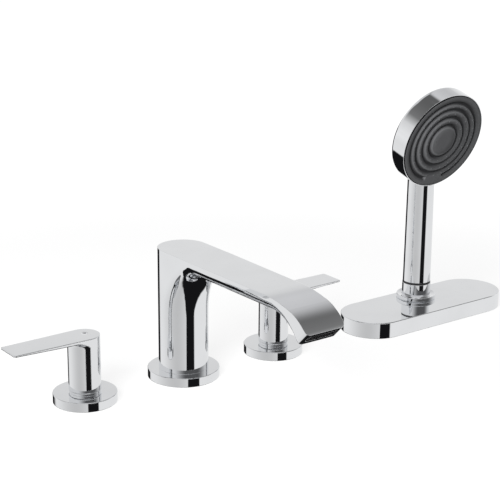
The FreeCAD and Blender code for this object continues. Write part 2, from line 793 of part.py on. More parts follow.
def arm(profile):
    """Straight arm and bent tip below the top line, and the lowest point of the end face."""
    upright = yz(0, 1)
    start = arm_section(profile, yz(HINGE.y, BELLY_Z), upright, SPOUT_BELLY)
    bend = yz(BELLY_BEND_Y, BELLY_Z)
    straight = Part.makeLoft(
        [start, arm_section(profile, bend, upright, SPOUT_BELLY)], True, True
    )
    sections = []
    for k in range(TIP_STEPS + 1):
        share = k / TIP_STEPS
        bottom = falling_arc(bend, 0, BELLY_BEND_RADIUS, BELLY_BEND_ANGLE * share)[1]
        top = profile.point_at(BELLY_BEND_Y + (profile.tip.y - BELLY_BEND_Y) * share)
        if k == TIP_STEPS:
            top = profile.tip
        belly = SPOUT_BELLY * (1 - share ** BELLY_FADE) + SPOUT_TIP_BELLY * share
        sections.append(arm_section(profile, bottom, (top - bottom).normalize(), belly))
    tip = Part.makeLoft(sections, True, False)
    return straight.fuse(tip).common(profile.roof(HINGE.z)), bottom


def column():
    """Round at the back; its front is a half ellipse that leads straight into the elbow."""
    radius = SPOUT_D / 2
    back = rod(SPOUT_D, ESCUTCHEON_H, SPOUT_TOP_Z)
    back = back.common(box(2 * SPOUT_D, SPOUT_D, 0, 2 * SPOUT_TOP_Z, 0, SPOUT_D / 2))
    foot = yz(-radius, ESCUTCHEON_H)
    section = half_ellipse_section(foot, yz(1, 0), radius, COLUMN_FRONT, radius)
    return back.fuse(Part.Face(section).extrude(Vector(0, 0, HINGE.z - ESCUTCHEON_H)))


def outlet_frame(profile, heel):
    """Middle of the end face, its outward direction and its long direction down the face."""
    middle = (profile.tip + heel) * 0.5
    down = (heel - profile.tip).normalize()
    outward = yz(down.z, -down.y)
    return middle, outward, down


def in_outlet(shape, frame):
    """Puts a shape modelled with Z outward and Y down the face into the end face."""
    middle, outward, down = frame
    across = down.cross(outward)
    copy = shape.copy()
    copy.Placement = Placement(
        Matrix(
            across.x, down.x, outward.x, middle.x,
            across.y, down.y, outward.y, middle.y,
            across.z, down.z, outward.z, middle.z,
            0, 0, 0, 1,
        )
    ).multiply(copy.Placement)
    return copy


def spout_waterway(frame):
    """Channel inside the arm, from the column to the outlet's pocket."""
    middle, outward, down = frame
    top_z = SPOUT_TOP_Z - CHANNEL_CROWN
    foot_z = top_z - CHANNEL_HEIGHT
    inner = middle - outward * OUTLET_DEPTH
    half = OUTLET_HEIGHT / 2 - OUTLET_RIM
    upper = inner - down * half
    lower = inner + down * half
    points = [
        yz(0, foot_z),
        yz(0, top_z),
        yz(SPOUT_BEND_Y, top_z),
        upper + yz(CHANNEL_HEIGHT, CHANNEL_LEAD),
        upper - outward,
        upper + outward,
        lower + outward,
        lower - outward,
        yz(BELLY_BEND_Y - CHANNEL_LEAD, foot_z),
        yz(0, foot_z),
    ]
    channel = Part.Face(Part.makePolygon(points)).extrude(Vector(CHANNEL_WIDTH, 0, 0))
    return moved(channel, -CHANNEL_WIDTH / 2)


def tip_rounding(frame):
    """Block that takes the two upright corners off the arm's end and leaves the rest alone."""
    half = SPOUT_TIP_WIDTH / 2
    length = SPOUT_D + 2 * SPOUT_THICKNESS - HINGE.y - BELLY_BEND_Y
    spread = length * math.tan(math.radians(CORNER_RELIEF_ANGLE))
    corner = half - SPOUT_CORNER
    reach = SPOUT_CORNER * math.sqrt(0.5)
    right = [
        Vector(corner, 0, 0),
        Vector(corner + reach, 0, reach - SPOUT_CORNER),
        Vector(half, 0, -SPOUT_CORNER),
        Vector(half + spread, 0, -length),
    ]
    left = [Vector(-point.x, 0, point.z) for point in right]
    outline = Part.Wire(
        [
            Part.Arc(*right[:3]).toShape(),
            Part.makeLine(right[2], right[3]),
            Part.makeLine(right[3], left[3]),
            Part.makeLine(left[3], left[2]),
            Part.Arc(*reversed(left[:3])).toShape(),
            Part.makeLine(left[0], right[0]),
        ]
    )
    block = Part.Face(outline).extrude(Vector(0, 2 * length, 0))
    return in_outlet(moved(block, 0, -length), frame)


def spout_body(arm_solid, frame):
    """Column, elbow and arm in one casting, with its socket, waterway and outlet pocket."""
    rounded_arm = arm_solid.common(tip_rounding(frame))
    shape = column().fuse(elbow()).fuse(rounded_arm).removeSplitter()
    socket_top_z = POST_TOP_Z + POST_ROOM
    shape = shape.cut(rod(POST_D + 2 * SEAT, ESCUTCHEON_H, socket_top_z))
    shape = shape.cut(rod(WATERWAY_D, socket_top_z, SPOUT_TOP_Z - CHANNEL_CROWN))
    shape = shape.cut(spout_waterway(frame))
    pocket = stadium(OUTLET_WIDTH + 2 * SEAT, OUTLET_HEIGHT + 2 * SEAT, -OUTLET_DEPTH, OUTLET_RIM)
    shape = shape.cut(in_outlet(pocket, frame))
    bore = turned(rod(SPOUT_SCREW_D + 2 * SEAT, 0, SPOUT_D), -90, Vector(1, 0, 0))
    return shape.cut(moved(bore, z=SPOUT_SCREW_Z))


def stream_former(frame):
    """Outlet insert with upright slots that lay the water out as a flat sheet."""
    insert = stadium(OUTLET_WIDTH, OUTLET_HEIGHT, -OUTLET_DEPTH, 0)
    inside = OUTLET_WIDTH - OUTLET_HEIGHT
    pitch = inside / OUTLET_SLOTS
    slot_height = OUTLET_HEIGHT - 2 * OUTLET_RIM
    for k in range(OUTLET_SLOTS):
        x = -inside / 2 + pitch * (k + 0.5)
        insert = insert.cut(box(pitch - OUTLET_FIN, slot_height, -OUTLET_DEPTH, 0, x))
    return in_outlet(insert, frame)


def spout_post():
    """Flanged post that the spout is pushed over, with grooves for its seals and grub screw."""
    flange_top_z = GASKET_THICKNESS + POST_FLANGE_THICKNESS
    post = rod(POST_FLANGE_D, GASKET_THICKNESS, flange_top_z)
    post = post.fuse(rod(POST_D, flange_top_z, POST_TOP_Z)).removeSplitter()
    for z in POST_RING_Z:
        post = post.cut(ring_groove(POST_D, POST_RING_SECTION, z))
    radius = POST_D / 2
    groove = revolved(
        [
            (radius + SCREW_GROOVE_SEAT, SPOUT_SCREW_Z - SCREW_GROOVE_MOUTH),
            (radius + SCREW_GROOVE_SEAT, SPOUT_SCREW_Z + SCREW_GROOVE_MOUTH),
            (radius - SCREW_GROOVE_DEPTH, SPOUT_SCREW_Z + SCREW_GROOVE_SEAT),
            (radius - SCREW_GROOVE_DEPTH, SPOUT_SCREW_Z - SCREW_GROOVE_SEAT),
        ]
    )
    post = post.cut(groove)
    post = post.cut(rod(SHANK_D + 2 * SEAT, GASKET_THICKNESS, 2 * flange_top_z))
    return post.cut(rod(WATERWAY_D, GASKET_THICKNESS, POST_TOP_Z))


def spout_o_rings():
    middle_d = POST_D - POST_RING_SECTION
    return Part.makeCompound(
        [round_seal(middle_d, POST_RING_SECTION - SEAT, z) for z in POST_RING_Z]
    )


def spout_grub_screw():
    inner = POST_D / 2 - SCREW_GROOVE_DEPTH + SEAT
    screw = grub_screw(SPOUT_SCREW_D, inner, SPOUT_D / 2 - SCREW_SINK)
    return moved(turned(screw, -90, Vector(1, 0, 0)), z=SPOUT_SCREW_Z)


def spout_shank():
    top_z = 2 * (GASKET_THICKNESS + POST_FLANGE_THICKNESS)
    return ring(SHANK_D, WATERWAY_D, SHANK_END_Z, top_z)


def mixing_tee():
    """Joins the two valves' outlets under the spout; its foot feeds the hand shower."""
    body = rod(TEE_D, TEE_FOOT_Z, TEE_TOP_Z)
    foot = turned(pipe_end(PIPE_LENGTH), 180, Vector(1, 0, 0))
    foot.translate(Vector(0, 0, TEE_FOOT_Z))
    branches = [side_branch(TEE_D, WATERWAY_D, TEE_INLET_Z, side) for side in (-1, 1)]
    body = body.fuse([foot] + [stub for stub, _ in branches]).removeSplitter()
    body = body.cut(rod(SHANK_D + 2 * SEAT, SHANK_END_Z, TEE_TOP_Z))
    body = body.cut(rod(WATERWAY_D, TEE_FOOT_Z + TEE_FLOOR, SHANK_END_Z))
    body = body.cut(rod(PIPE_BORE_D, TEE_FOOT_Z, TEE_FOOT_Z + TEE_FLOOR))
    return body.cut([bore for _, bore in branches])


# Deck plate, holder and hand shower


def at_plate(shape):
    return moved(shape, PLATE_X, PLATE_Y)


def at_holder(shape):
    return moved(shape, HOLDER_X, HOLDER_Y)


def deck_plate():
    """Long round-ended cover over the hose outlet."""
    cover = stadium(PLATE_LENGTH, PLATE_WIDTH, FOOT_GAP, PLATE_HEIGHT)
    rim = [edge for edge in cover.Edges if edge.BoundBox.ZMin > PLATE_HEIGHT - 1e-3]
    cover = cover.makeFillet(PLATE_EDGE_ROUND, rim)
    inside = stadium(
        PLATE_LENGTH - 2 * PLATE_WALL,
        PLATE_WIDTH - 2 * PLATE_WALL,
        FOOT_GAP,
        PLATE_HEIGHT - PLATE_CROWN,
    )
    cover = at_plate(cover.cut(inside))
    return cover.cut(at_holder(rod(SPIGOT_D + 2 * SEAT, 0, PLATE_HEIGHT)))


def frame_screw_holes(top_z):
    hole = at_plate(rod(FRAME_SCREW_D + 4 * SEAT, 0, top_z))
    return [moved(hole, x) for x in (-FRAME_SCREW_X, FRAME_SCREW_X)]


def plate_gasket():
    inset = 2 * (PLATE_WALL + TURN_GAP)
    wide = stadium(PLATE_LENGTH - inset, PLATE_WIDTH - inset, 0, GASKET_THICKNESS)
    wide = at_plate(wide).cut(at_holder(rod(SHANK_D + 4 * SEAT, 0, GASKET_THICKNESS)))
    return wide.cut(frame_screw_holes(GASKET_THICKNESS))


def plate_frame():
    """Moulded carrier on the deck: a rim that centres the cover and a boss under its hole."""
    inset = 2 * (PLATE_WALL + TURN_GAP)
    length = PLATE_LENGTH - inset
    width = PLATE_WIDTH - inset
    floor_z = GASKET_THICKNESS + FRAME_THICKNESS
    rim_z = floor_z + FRAME_RIM_HEIGHT
    tray = stadium(length, width, GASKET_THICKNESS, rim_z)
    tray = tray.cut(stadium(length - 2 * FRAME_RIM, width - 2 * FRAME_RIM, floor_z, rim_z))
    boss_d = SHANK_D + 4 * SEAT + 2 * FRAME_BOSS_WALL
    boss = rod(boss_d, floor_z, PLATE_HEIGHT - PLATE_CROWN)
    frame = at_plate(tray).fuse(at_holder(boss)).removeSplitter()
    frame = frame.cut(at_holder(rod(SHANK_D + 4 * SEAT, 0, PLATE_HEIGHT)))
    return frame.cut(frame_screw_holes(floor_z))


def frame_screws():
    """Pan-head screws that hold the frame down on the deck."""
    head_z = GASKET_THICKNESS + FRAME_THICKNESS
    screw = rod(FRAME_SCREW_D, head_z - FRAME_SCREW_LENGTH, head_z)
    head = rod(FRAME_SCREW_HEAD_D, head_z, head_z + FRAME_SCREW_HEAD_H)
    screw = screw.fuse(head).removeSplitter()
    places = (-FRAME_SCREW_X, FRAME_SCREW_X)
    return Part.makeCompound([at_plate(moved(screw, x)) for x in places])


def holder_socket():
    """Chromed socket with a dished collar and the spigot that screws into the shank."""
    base_z = PLATE_HEIGHT
    lip_z = base_z + COLLAR_HEIGHT
    dish_z = lip_z - COLLAR_DISH
    collar_r = COLLAR_D / 2
    socket = revolved(
        [
            (SPIGOT_BORE_D / 2, base_z - SPIGOT_LENGTH),
            (SPIGOT_D / 2, base_z - SPIGOT_LENGTH),
            (SPIGOT_D / 2, base_z),
            (collar_r - COLLAR_LIP, base_z),
            (collar_r, base_z + COLLAR_LIP),
            (collar_r, lip_z - COLLAR_LIP / 2),
            (collar_r - COLLAR_LIP / 2, lip_z),
            (SOCKET_D / 2 + COLLAR_LIP, dish_z),
            (SOCKET_D / 2, dish_z + COLLAR_LIP),
            (SOCKET_D / 2, SOCKET_TOP_Z),
            (LINER_D / 2 + RUNNING, SOCKET_TOP_Z),
            (LINER_D / 2 + RUNNING, LINER_FOOT_Z),
            (SPIGOT_BORE_D / 2, LINER_FOOT_Z),
        ]
    )
    return at_holder(socket)


def holder_liner():
    """Plastic lining that turns in the socket, with a tapered bore for the hand shower's end."""
    flange_foot_z = SOCKET_TOP_Z + SEAT
    flange_top_z = flange_foot_z + LINER_FLANGE_H
    liner = revolved(
        [
            (LINER_FOOT_BORE_D / 2, LINER_FOOT_Z + FACE_RUNNING),
            (LINER_D / 2, LINER_FOOT_Z + FACE_RUNNING),
            (LINER_D / 2, flange_foot_z),
            (LINER_FLANGE_D / 2, flange_foot_z),
            (LINER_FLANGE_D / 2, flange_top_z),
            (LINER_TOP_BORE_D / 2, flange_top_z),
        ]
    )
    return at_holder(liner)


def holder_shank():
    """Threaded tube through the deck; the shower hose runs down inside it."""
    top_z = PLATE_HEIGHT - PLATE_CROWN - SEAT
    tube = ring(SHANK_D, HOLDER_SHANK_BORE_D, SHANK_END_Z, top_z)
    foot_z = PLATE_HEIGHT - SPIGOT_LENGTH
    return at_holder(tube.cut(rod(SPIGOT_D + 2 * SEAT, foot_z, top_z)))


def in_head(shape):
    """Puts a shape modelled with Z out of the spray face into the tilted head."""
    copy = turned(shape, 90 + HEAD_TILT, Vector(1, 0, 0))
    return moved(copy, HOLDER_X, HEAD_FACE_Y, HEAD_FACE_Z)


def shower_shell():
    """Head drum and stick in one piece, hollow for the face and the inner pipe."""
    radius = HEAD_D / 2
    drum = rod(HEAD_D, -HEAD_THICKNESS, 0)
    drum = drum.makeFillet(HEAD_BACK_ROUND, top_edges(drum, -HEAD_THICKNESS, HEAD_D))
    drum = in_head(drum)
    foot_r = STICK_FOOT_D / 2
    slope = (STICK_TOP_D - STICK_FOOT_D) / 2 / (STICK_WAIST_Z - STICK_FOOT_Z)
    stick_top_z = HEAD_FACE_Z - radius + STICK_INTO_HEAD
    top_r = foot_r + slope * (stick_top_z - STICK_FOOT_Z)
    stick = Part.makeCone(foot_r, top_r, stick_top_z - STICK_FOOT_Z, Vector(0, 0, STICK_FOOT_Z))
    in_front = in_head(rod(HEAD_D, 0, HEAD_THICKNESS))
    shell = drum.fuse(at_holder(stick).cut(in_front)).removeSplitter()
    shell = shell.cut(in_head(rod(HEAD_D - 2 * HEAD_WALL, HEAD_WALL - HEAD_THICKNESS, 0)))
    return shell.cut(at_holder(rod(STICK_BORE_D, STICK_FOOT_Z, stick_top_z)))


FACE_FOOT = FACE_PROUD - FACE_THICKNESS
MAT_FOOT = FACE_FOOT - MAT_THICKNESS
CHAMBER_PLATE_TOP = MAT_FOOT - CHAMBER_GAP
INSIDE_D = HEAD_D - 2 * HEAD_WALL - 2 * SEAT


def nozzle_places():
    for circle_r, count in zip(NOZZLE_RADII, NOZZLE_COUNTS):
        for k in range(count):
            angle = 2 * math.pi * k / count
            yield circle_r * math.cos(angle), circle_r * math.sin(angle)


def spray_face():
    """Dark front disc with four ring grooves, the outermost broken at the foot."""
    cap = rod(FACE_D, 0, FACE_PROUD)
    cap = cap.fuse(rod(INSIDE_D, FACE_FOOT, 0)).removeSplitter()
    cap = cap.makeFillet(FACE_EDGE_ROUND, top_edges(cap, FACE_PROUD, FACE_D))
    for groove_r in GROOVE_RADII:
        outline = [
            (groove_r - GROOVE_WIDTH / 2, FACE_PROUD),
            (groove_r, FACE_PROUD - GROOVE_DEPTH),
            (groove_r + GROOVE_WIDTH / 2, FACE_PROUD),
            (groove_r, FACE_PROUD + GROOVE_DEPTH),
        ]
        sweep = 360.0
        if groove_r == max(GROOVE_RADII):
            sweep = 360.0 - GROOVE_BREAK_ANGLE
        cap = cap.cut(turned(revolved(outline, sweep), GROOVE_BREAK_ANGLE / 2 - 90))
    hole = hexagon(NOZZLE_D + 2 * SEAT, FACE_FOOT, FACE_PROUD)
    return in_head(cap.cut([moved(hole, x, y) for x, y in nozzle_places()]))


def nozzle_mat():
    """Soft mat behind the face; its nozzles stand a little out of the face."""
    mat = rod(INSIDE_D, MAT_FOOT, FACE_FOOT)
    tip = hexagon(NOZZLE_D, MAT_FOOT, FACE_PROUD + NOZZLE_PROUD)
    tips = [moved(tip, x, y) for x, y in nozzle_places()]
    return in_head(mat.fuse(tips).removeSplitter())


def chamber_plate():
    """Closes the spray chamber behind the mat; a short collar takes the inner pipe."""
    foot = CHAMBER_PLATE_TOP - CHAMBER_PLATE_THICKNESS
    plate = rod(INSIDE_D, foot, CHAMBER_PLATE_TOP)
    wall = ring(INSIDE_D, INSIDE_D - 2 * HEAD_WALL, CHAMBER_PLATE_TOP, MAT_FOOT)
    return in_head(plate.fuse(wall).removeSplitter())


def inner_pipe():
    """Plastic pipe that leads the water up the stick."""
    foot_z = STICK_FOOT_Z + NIPPLE_SHOULDER
    top_z = HEAD_FACE_Z - HEAD_D / 2 + HEAD_WALL
    return at_holder(ring(INNER_PIPE_D, INNER_PIPE_BORE_D, foot_z, top_z))


def hose_nipple():
    """Threaded end of the hand shower, with a shoulder glued into the stick's foot."""
    shoulder_top_z = STICK_FOOT_Z + NIPPLE_SHOULDER
    nipple = rod(STICK_BORE_D - 2 * SEAT, STICK_FOOT_Z, shoulder_top_z)
    nipple = nipple.fuse(rod(NIPPLE_D, STICK_FOOT_Z - NIPPLE_LENGTH, STICK_FOOT_Z)).removeSplitter()
    return at_holder(nipple.cut(rod(NIPPLE_BORE_D, STICK_FOOT_Z - NIPPLE_LENGTH, shoulder_top_z)))


# Assembly


def valve_station(name, side):
    """Every node of one valve. Side is -1 for the left valve and 1 for the right one."""
    pieces = {
        "escutcheon": escutcheon(VALVE_ESCUTCHEON_D, NECK_FLANGE_D + 4 * SEAT),
        "base_ring": base_ring(),
        "neck_bush": neck_bush(),
        "headwork_body": headwork_body(),
        "fixed_disc": fixed_disc(),
        "turning_disc": turning_disc(),
        "spindle": spindle(),
        "spindle_o_rings": spindle_o_rings(),
        "valve_body": valve_body(side),
    }
    for part_name, shape in {
        "handle": handle(side),
        "handle_insert": handle_insert(side),
        "handle_screw": handle_grub_screw(side),
        "marker": marker(side),
    }.items():
        pieces[part_name] = turned(shape, 90 * side)
    return {
        f"{name}_{part_name}": moved(shape, side * VALVE_SPACING)
        for part_name, shape in pieces.items()
    }


def at_valves(shape):
    return [moved(shape, side * VALVE_SPACING) for side in (-1, 1)]


def shared_pieces():
    """Identical pieces of several stations, each kind in one node."""
    seals = at_valves(foot_seal(VALVE_ESCUTCHEON_D)) + [foot_seal(SPOUT_ESCUTCHEON_D)]
    washers = at_valves(clamp_washer()) + [clamp_washer(), at_holder(clamp_washer())]
    nuts = at_valves(shank_nut()) + [shank_nut(), at_holder(shank_nut())]
    gaskets = at_valves(deck_gasket()) + [deck_gasket()]
    return {
        "escutcheon_foot_seals": Part.makeCompound(seals),
        "clamp_washers": Part.makeCompound(washers),
        "shank_nuts": Part.makeCompound(nuts),
        "deck_gaskets": Part.makeCompound(gaskets),
        "valve_top_nuts": Part.makeCompound(at_valves(top_nut())),
        "valve_glide_bushes": Part.makeCompound(at_valves(glide_bush())),
        "valve_disc_seals": Part.makeCompound(at_valves(disc_seal())),
    }


def spout_station():
    profile = SpoutProfile()
    arm_solid, heel = arm(profile)
    frame = outlet_frame(profile, heel)
    return {
        "spout_body": spout_body(arm_solid, frame),
        "spout_escutcheon": escutcheon(SPOUT_ESCUTCHEON_D, POST_D + 4 * SEAT),
        "stream_former": stream_former(frame),
        "spout_post": spout_post(),
        "spout_o_rings": spout_o_rings(),
        "spout_grub_screw": spout_grub_screw(),
        "spout_shank": spout_shank(),
        "mixing_tee": mixing_tee(),
    }


def shower_station():
    return {
        "deck_plate": deck_plate(),
        "plate_gasket": plate_gasket(),
        "plate_frame": plate_frame(),
        "frame_screws": frame_screws(),
        "holder_socket": holder_socket(),
        "holder_liner": holder_liner(),
        "holder_shank": holder_shank(),
        "shower_shell": shower_shell(),
        "spray_face": spray_face(),
        "nozzle_mat": nozzle_mat(),
        "chamber_plate": chamber_plate(),
        "inner_pipe": inner_pipe(),
        "hose_nipple": hose_nipple(),
    }


def main():
    os.makedirs("parts", exist_ok=True)
    nodes = {}
    nodes.update(valve_station("left", -1))
    nodes.update(valve_station("right", 1))
    nodes.update(shared_pieces())
    nodes.update(spout_station())
    nodes.update(shower_station())
    for name, shape in nodes.items():
        shape.exportStep(f"parts/{name}.step")
    print(len(nodes), "nodes")


main()
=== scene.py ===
"""Finishes and stage for a deck-mounted bath mixer: chrome, brass, rubber and plastic, in metres."""

import json
import math

import bpy
from mathutils import Matrix, Vector


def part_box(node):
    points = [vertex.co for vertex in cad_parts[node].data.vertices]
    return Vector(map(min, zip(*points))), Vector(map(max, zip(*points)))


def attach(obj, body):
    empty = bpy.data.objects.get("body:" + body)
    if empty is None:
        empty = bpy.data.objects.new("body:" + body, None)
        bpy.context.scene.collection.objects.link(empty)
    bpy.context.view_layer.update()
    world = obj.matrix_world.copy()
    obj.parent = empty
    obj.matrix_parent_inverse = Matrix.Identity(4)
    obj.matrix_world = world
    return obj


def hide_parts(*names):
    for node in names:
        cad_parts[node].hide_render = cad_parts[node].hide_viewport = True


bl_info = {
    "name": "Bath Mixer Finishes",
    "version": (1, 0, 0),
    "blender": (4, 5, 0),
    "location": "View3D > Sidebar > Bath Mixer",
    "description": "Dresses a deck-mounted bath mixer and sets up its studio",
    "category": "Object",
}

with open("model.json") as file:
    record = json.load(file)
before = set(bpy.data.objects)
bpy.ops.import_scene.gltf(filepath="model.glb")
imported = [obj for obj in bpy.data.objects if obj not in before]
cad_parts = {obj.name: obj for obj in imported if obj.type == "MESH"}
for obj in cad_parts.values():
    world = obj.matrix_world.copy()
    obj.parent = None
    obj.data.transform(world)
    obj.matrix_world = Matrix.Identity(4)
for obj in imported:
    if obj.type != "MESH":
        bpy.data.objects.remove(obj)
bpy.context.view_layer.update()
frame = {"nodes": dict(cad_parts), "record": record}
NODES = frame["nodes"]
SIDES = ("left", "right")

# Where the stations stand on the deck
VALVE_PLACES = {"left": (-0.110, 0.0), "right": (0.110, 0.0)}
SPOUT_PLACE = (0.0, 0.0)
HOLDER_PLACE = (0.3125, 0.0045)

# The spray face and the mat behind it. Their rims are shares of FACE_PROUD and MAT_THICKNESS:
# a straight wall, then steps inwards and up
HEAD_TILT = math.radians(17.6)
FACE_CENTRE = Vector((HOLDER_PLACE[0], -0.026, 0.1984))
FACE_PROUD = 0.0008
FACE_RADIUS = 0.0530
INSIDE_RADIUS = 0.0507
FACE_BACK = 0.0027
FACE_SIDES = 144
FACE_WALL = 0.35
FACE_RIM_STEPS = ((0.2, 0.45), (0.5, 0.2))
MAT_THICKNESS = 0.0015
MAT_SIDES = 72
MAT_RIM_INWARD = 0.3
MAT_RIM_RISE = 0.2

# Ring grooves of the spray face: middle radii, half width, depth, gap of the outermost one in
# degrees, and the profile from the outer to the inner rim as shares of half width and depth
GROOVE_CIRCLES = (0.0188, 0.0279, 0.0368, 0.0444)
GROOVE_HALF_WIDTH = 0.0023
GROOVE_DEPTH = 0.0024
GROOVE_GAP = 34.0
GROOVE_PROFILE = (
    (1.0, 0.0),
    (0.84, 0.10),
    (0.50, 0.80),
    (0.30, 1.0),
    (-0.30, 1.0),
    (-0.50, 0.80),
    (-0.84, 0.10),
    (-1.0, 0.0),
)

# Painted light along a groove, by distance from its middle: a painted highlight on the inner
# lip and painted shade in the groove. Then how much brighter the painted highlight is, how softly
# the gap ends in radians, and where the painted shadow along the face's rim begins
GROOVE_LIP_HIGHLIGHT = ((-0.0046, 0.0), (-0.0030, 1.0), (-0.0018, 0.6), (-0.0010, 0.0))
GROOVE_SHADE = ((-0.0026, 0.0), (-0.0008, 0.68), (0.0008, 0.72), (0.0022, 0.42), (0.0048, 0.0))
LIP_HIGHLIGHT_BRIGHTNESS = 1.4
GAP_SOFTNESS = 0.02
# Painted shadow along the face's rim, where it meets the chrome
RIM_SHADOW = (FACE_RADIUS - 0.0011, FACE_RADIUS - 0.0006)

# Nozzles: radius and number of each circle, how deep a foot sits in the face, steps from the
# foot as share of the height and narrowing, and the spray hole as shares of diameter and height
NOZZLE_CIRCLES = ((0.0233, 12), (0.0323, 18), (0.0406, 24))
NOZZLE_SIDES = 14
NOZZLE_SUNK = 0.0004
NOZZLE_STEPS = ((0.45, 0.92), (0.35, 0.86), (0.20, 0.72))
HOLE_RIM = 0.06
HOLE_DEPTH = 0.6
HOLE_NARROWING = 0.9

# Threads: name, place and stretches from foot to top of each shank, and the mounts whose pipe
# ends are threaded. A ridge's radius and how deep it sits in the metal are shares of its depth
SHANK_RADIUS = 0.016
IN_DECK = (-0.0195, -0.0005)
SHANK_RUNS = (
    ("Left_Valve", VALVE_PLACES["left"], ((-0.0415, -0.0310), IN_DECK)),
    ("Right_Valve", VALVE_PLACES["right"], ((-0.0415, -0.0310), IN_DECK)),
    ("Spout", SPOUT_PLACE, ((-0.0580, -0.0310), IN_DECK)),
    ("Holder", HOLDER_PLACE, ((-0.0590, -0.0310), IN_DECK)),
)
PIPE_RADIUS = 0.01045
PIPE_HALF_RUN = 0.0080
PIPE_ENDS = (
    "left_inlet",
    "right_inlet",
    "left_outlet",
    "right_outlet",
    "tee_left",
    "tee_right",
    "tee_foot",
)
RIDGE_RADIUS = 1.5
RIDGE_SUNK = 0.2
THREAD_STEPS = 36

# Chrome: levels of noise where haze begins and is full, roughness of clear patches and what
# haze adds to it as shares of the setting, tint of the haze, ripple, and by how many times the
# edge radius the levers and the hand shower are rounded
HAZE_STEP = (0.35, 0.75)
CLEAR_ROUGHNESS = 0.6
HAZE_ROUGHNESS = 0.8
HAZE_TINT = 0.965
RIPPLE_HEIGHT = 0.00006
RIPPLE_STRENGTH = 0.5
LEVER_ROUNDING = 2.5
SHOWER_ROUNDING = 0.3

# Grain of moulded and ground surfaces, and lathe marks of the brass
GRAIN_SCALE = 900.0
GRAIN_HEIGHT = 0.00002
GRAIN_LIGHT = 1.12
GRAIN_DARK = 0.88
GRAIN_ROUGHNESS = 0.16
BRASS_GRAIN_SCALE = 500.0
BRASS_DARK = 0.8
BRASS_ROUGHNESS = 0.2
LATHE_HEIGHT = 0.00004

# The enamel marker: radius where the dot ends and where its ring begins
MARKER_EDGE = (0.0014, 0.0017)

# Near black of the painted shade in the face's grooves and of the painted shadow along its rim,
# and of the studio's flags
NEAR_BLACK = (0.008, 0.008, 0.009)


# Sizes and colours that a user would change


class ChromeSettings(bpy.types.PropertyGroup):
    tint: bpy.props.FloatVectorProperty(
        name="Chrome tint",
        description="Colour of the mirror finish",
        subtype="COLOR",
        default=(0.86, 0.87, 0.885),
    )
    polish: bpy.props.FloatProperty(
        name="Roughness",
        description="Roughness of the mirror finish",
        default=0.035,
        min=0.0,
        max=1.0,
    )
    edge_radius: bpy.props.FloatProperty(
        name="Edge radius",
        description="How far the polished edges are rounded",
        subtype="DISTANCE",
        default=0.0006,
    )


class ShowerSettings(bpy.types.PropertyGroup):
    face_colour: bpy.props.FloatVectorProperty(
        name="Face colour",
        description="Colour of the moulded spray face",
        subtype="COLOR",
        default=(0.140, 0.142, 0.147),
    )
    nozzle_diameter: bpy.props.FloatProperty(
        name="Nozzle diameter",
        description="Diameter of a soft nozzle where it leaves the face",
        subtype="DISTANCE",
        default=0.0016,
    )
    nozzle_height: bpy.props.FloatProperty(
        name="Nozzle height",
        description="How far a nozzle stands out of the face",
        subtype="DISTANCE",
        default=0.0006,
    )
    groove_depth: bpy.props.FloatProperty(
        name="Groove depth",
        description="Depth of the ring grooves in the spray face",
        subtype="DISTANCE",
        default=GROOVE_DEPTH,
    )


class BrassSettings(bpy.types.PropertyGroup):
    colour: bpy.props.FloatVectorProperty(
        name="Brass colour",
        description="Colour of the machined brass",
        subtype="COLOR",
        default=(0.70, 0.53, 0.27),
    )
    shank_pitch: bpy.props.FloatProperty(
        name="Shank thread pitch",
        description="Distance between two turns of a shank's thread",
        subtype="DISTANCE",
        default=0.0020,
    )
    pipe_pitch: bpy.props.FloatProperty(
        name="Pipe thread pitch",
        description="Distance between two turns of a pipe end's thread",
        subtype="DISTANCE",
        default=0.001814,
    )
    thread_depth: bpy.props.FloatProperty(
        name="Thread depth",
        description="How far a thread's crest stands out of the plain shank",
        subtype="DISTANCE",
        default=0.0004,
    )


class StudioSettings(bpy.types.PropertyGroup):
    floor_size: bpy.props.FloatProperty(
        name="Floor size",
        description="Width of the pale floor",
        subtype="DISTANCE",
        default=24.0,
    )
    light_strength: bpy.props.FloatProperty(
        name="Soft light",
        description="Power of the large lamp above the object",
        subtype="POWER",
        default=57.0,
    )


# Building blocks for materials


def add_node(tree, kind, **values):
    """Adds a node; values that name a property are set on it, the others on its inputs."""
    node = tree.nodes.new(kind)
    for key, value in values.items():
        if hasattr(node, key):
            setattr(node, key, value)
        else:
            node.inputs[key.replace("_", " ")].default_value = value
    return node


def calculate(tree, operation, *operands, clamp=False):
    """A Math node; each operand is a socket or a number."""
    node = tree.nodes.new("ShaderNodeMath")
    node.operation = operation
    node.use_clamp = clamp
    for socket, operand in zip(node.inputs, operands):
        if isinstance(operand, bpy.types.NodeSocket):
            tree.links.new(operand, socket)
        else:
            socket.default_value = operand
    return node.outputs[0]


def step_up(tree, value, low, high):
    """0 below low, 1 above high and a smooth step between them."""
    node = tree.nodes.new("ShaderNodeMapRange")
    node.interpolation_type = "SMOOTHSTEP"
    node.inputs["From Min"].default_value = low
    node.inputs["From Max"].default_value = high
    tree.links.new(value, node.inputs["Value"])
    return node.outputs["Result"]


def step_down(tree, value, low, high):
    """1 below low, 0 above high and a smooth step between them."""
    return calculate(tree, "SUBTRACT", 1.0, step_up(tree, value, low, high))


def between(tree, value, low, high, softness):
    """1 between low and high, with soft ends."""
    rise = step_up(tree, value, low - softness, low + softness)
    fall = step_up(tree, value, high - softness, high + softness)
    return calculate(tree, "SUBTRACT", rise, fall, clamp=True)


def ramp(tree, value, stops):
    """A grey ramp through (position, level) stops, read at value."""
    node = tree.nodes.new("ShaderNodeValToRGB")
    elements = node.color_ramp.elements
    while len(elements) < len(stops):
        elements.new(0.5)
    for element, (position, level) in zip(elements, stops):
        element.position = position
        element.color = (level, level, level, 1.0)
    tree.links.new(value, node.inputs["Fac"])
    return node.outputs["Color"]


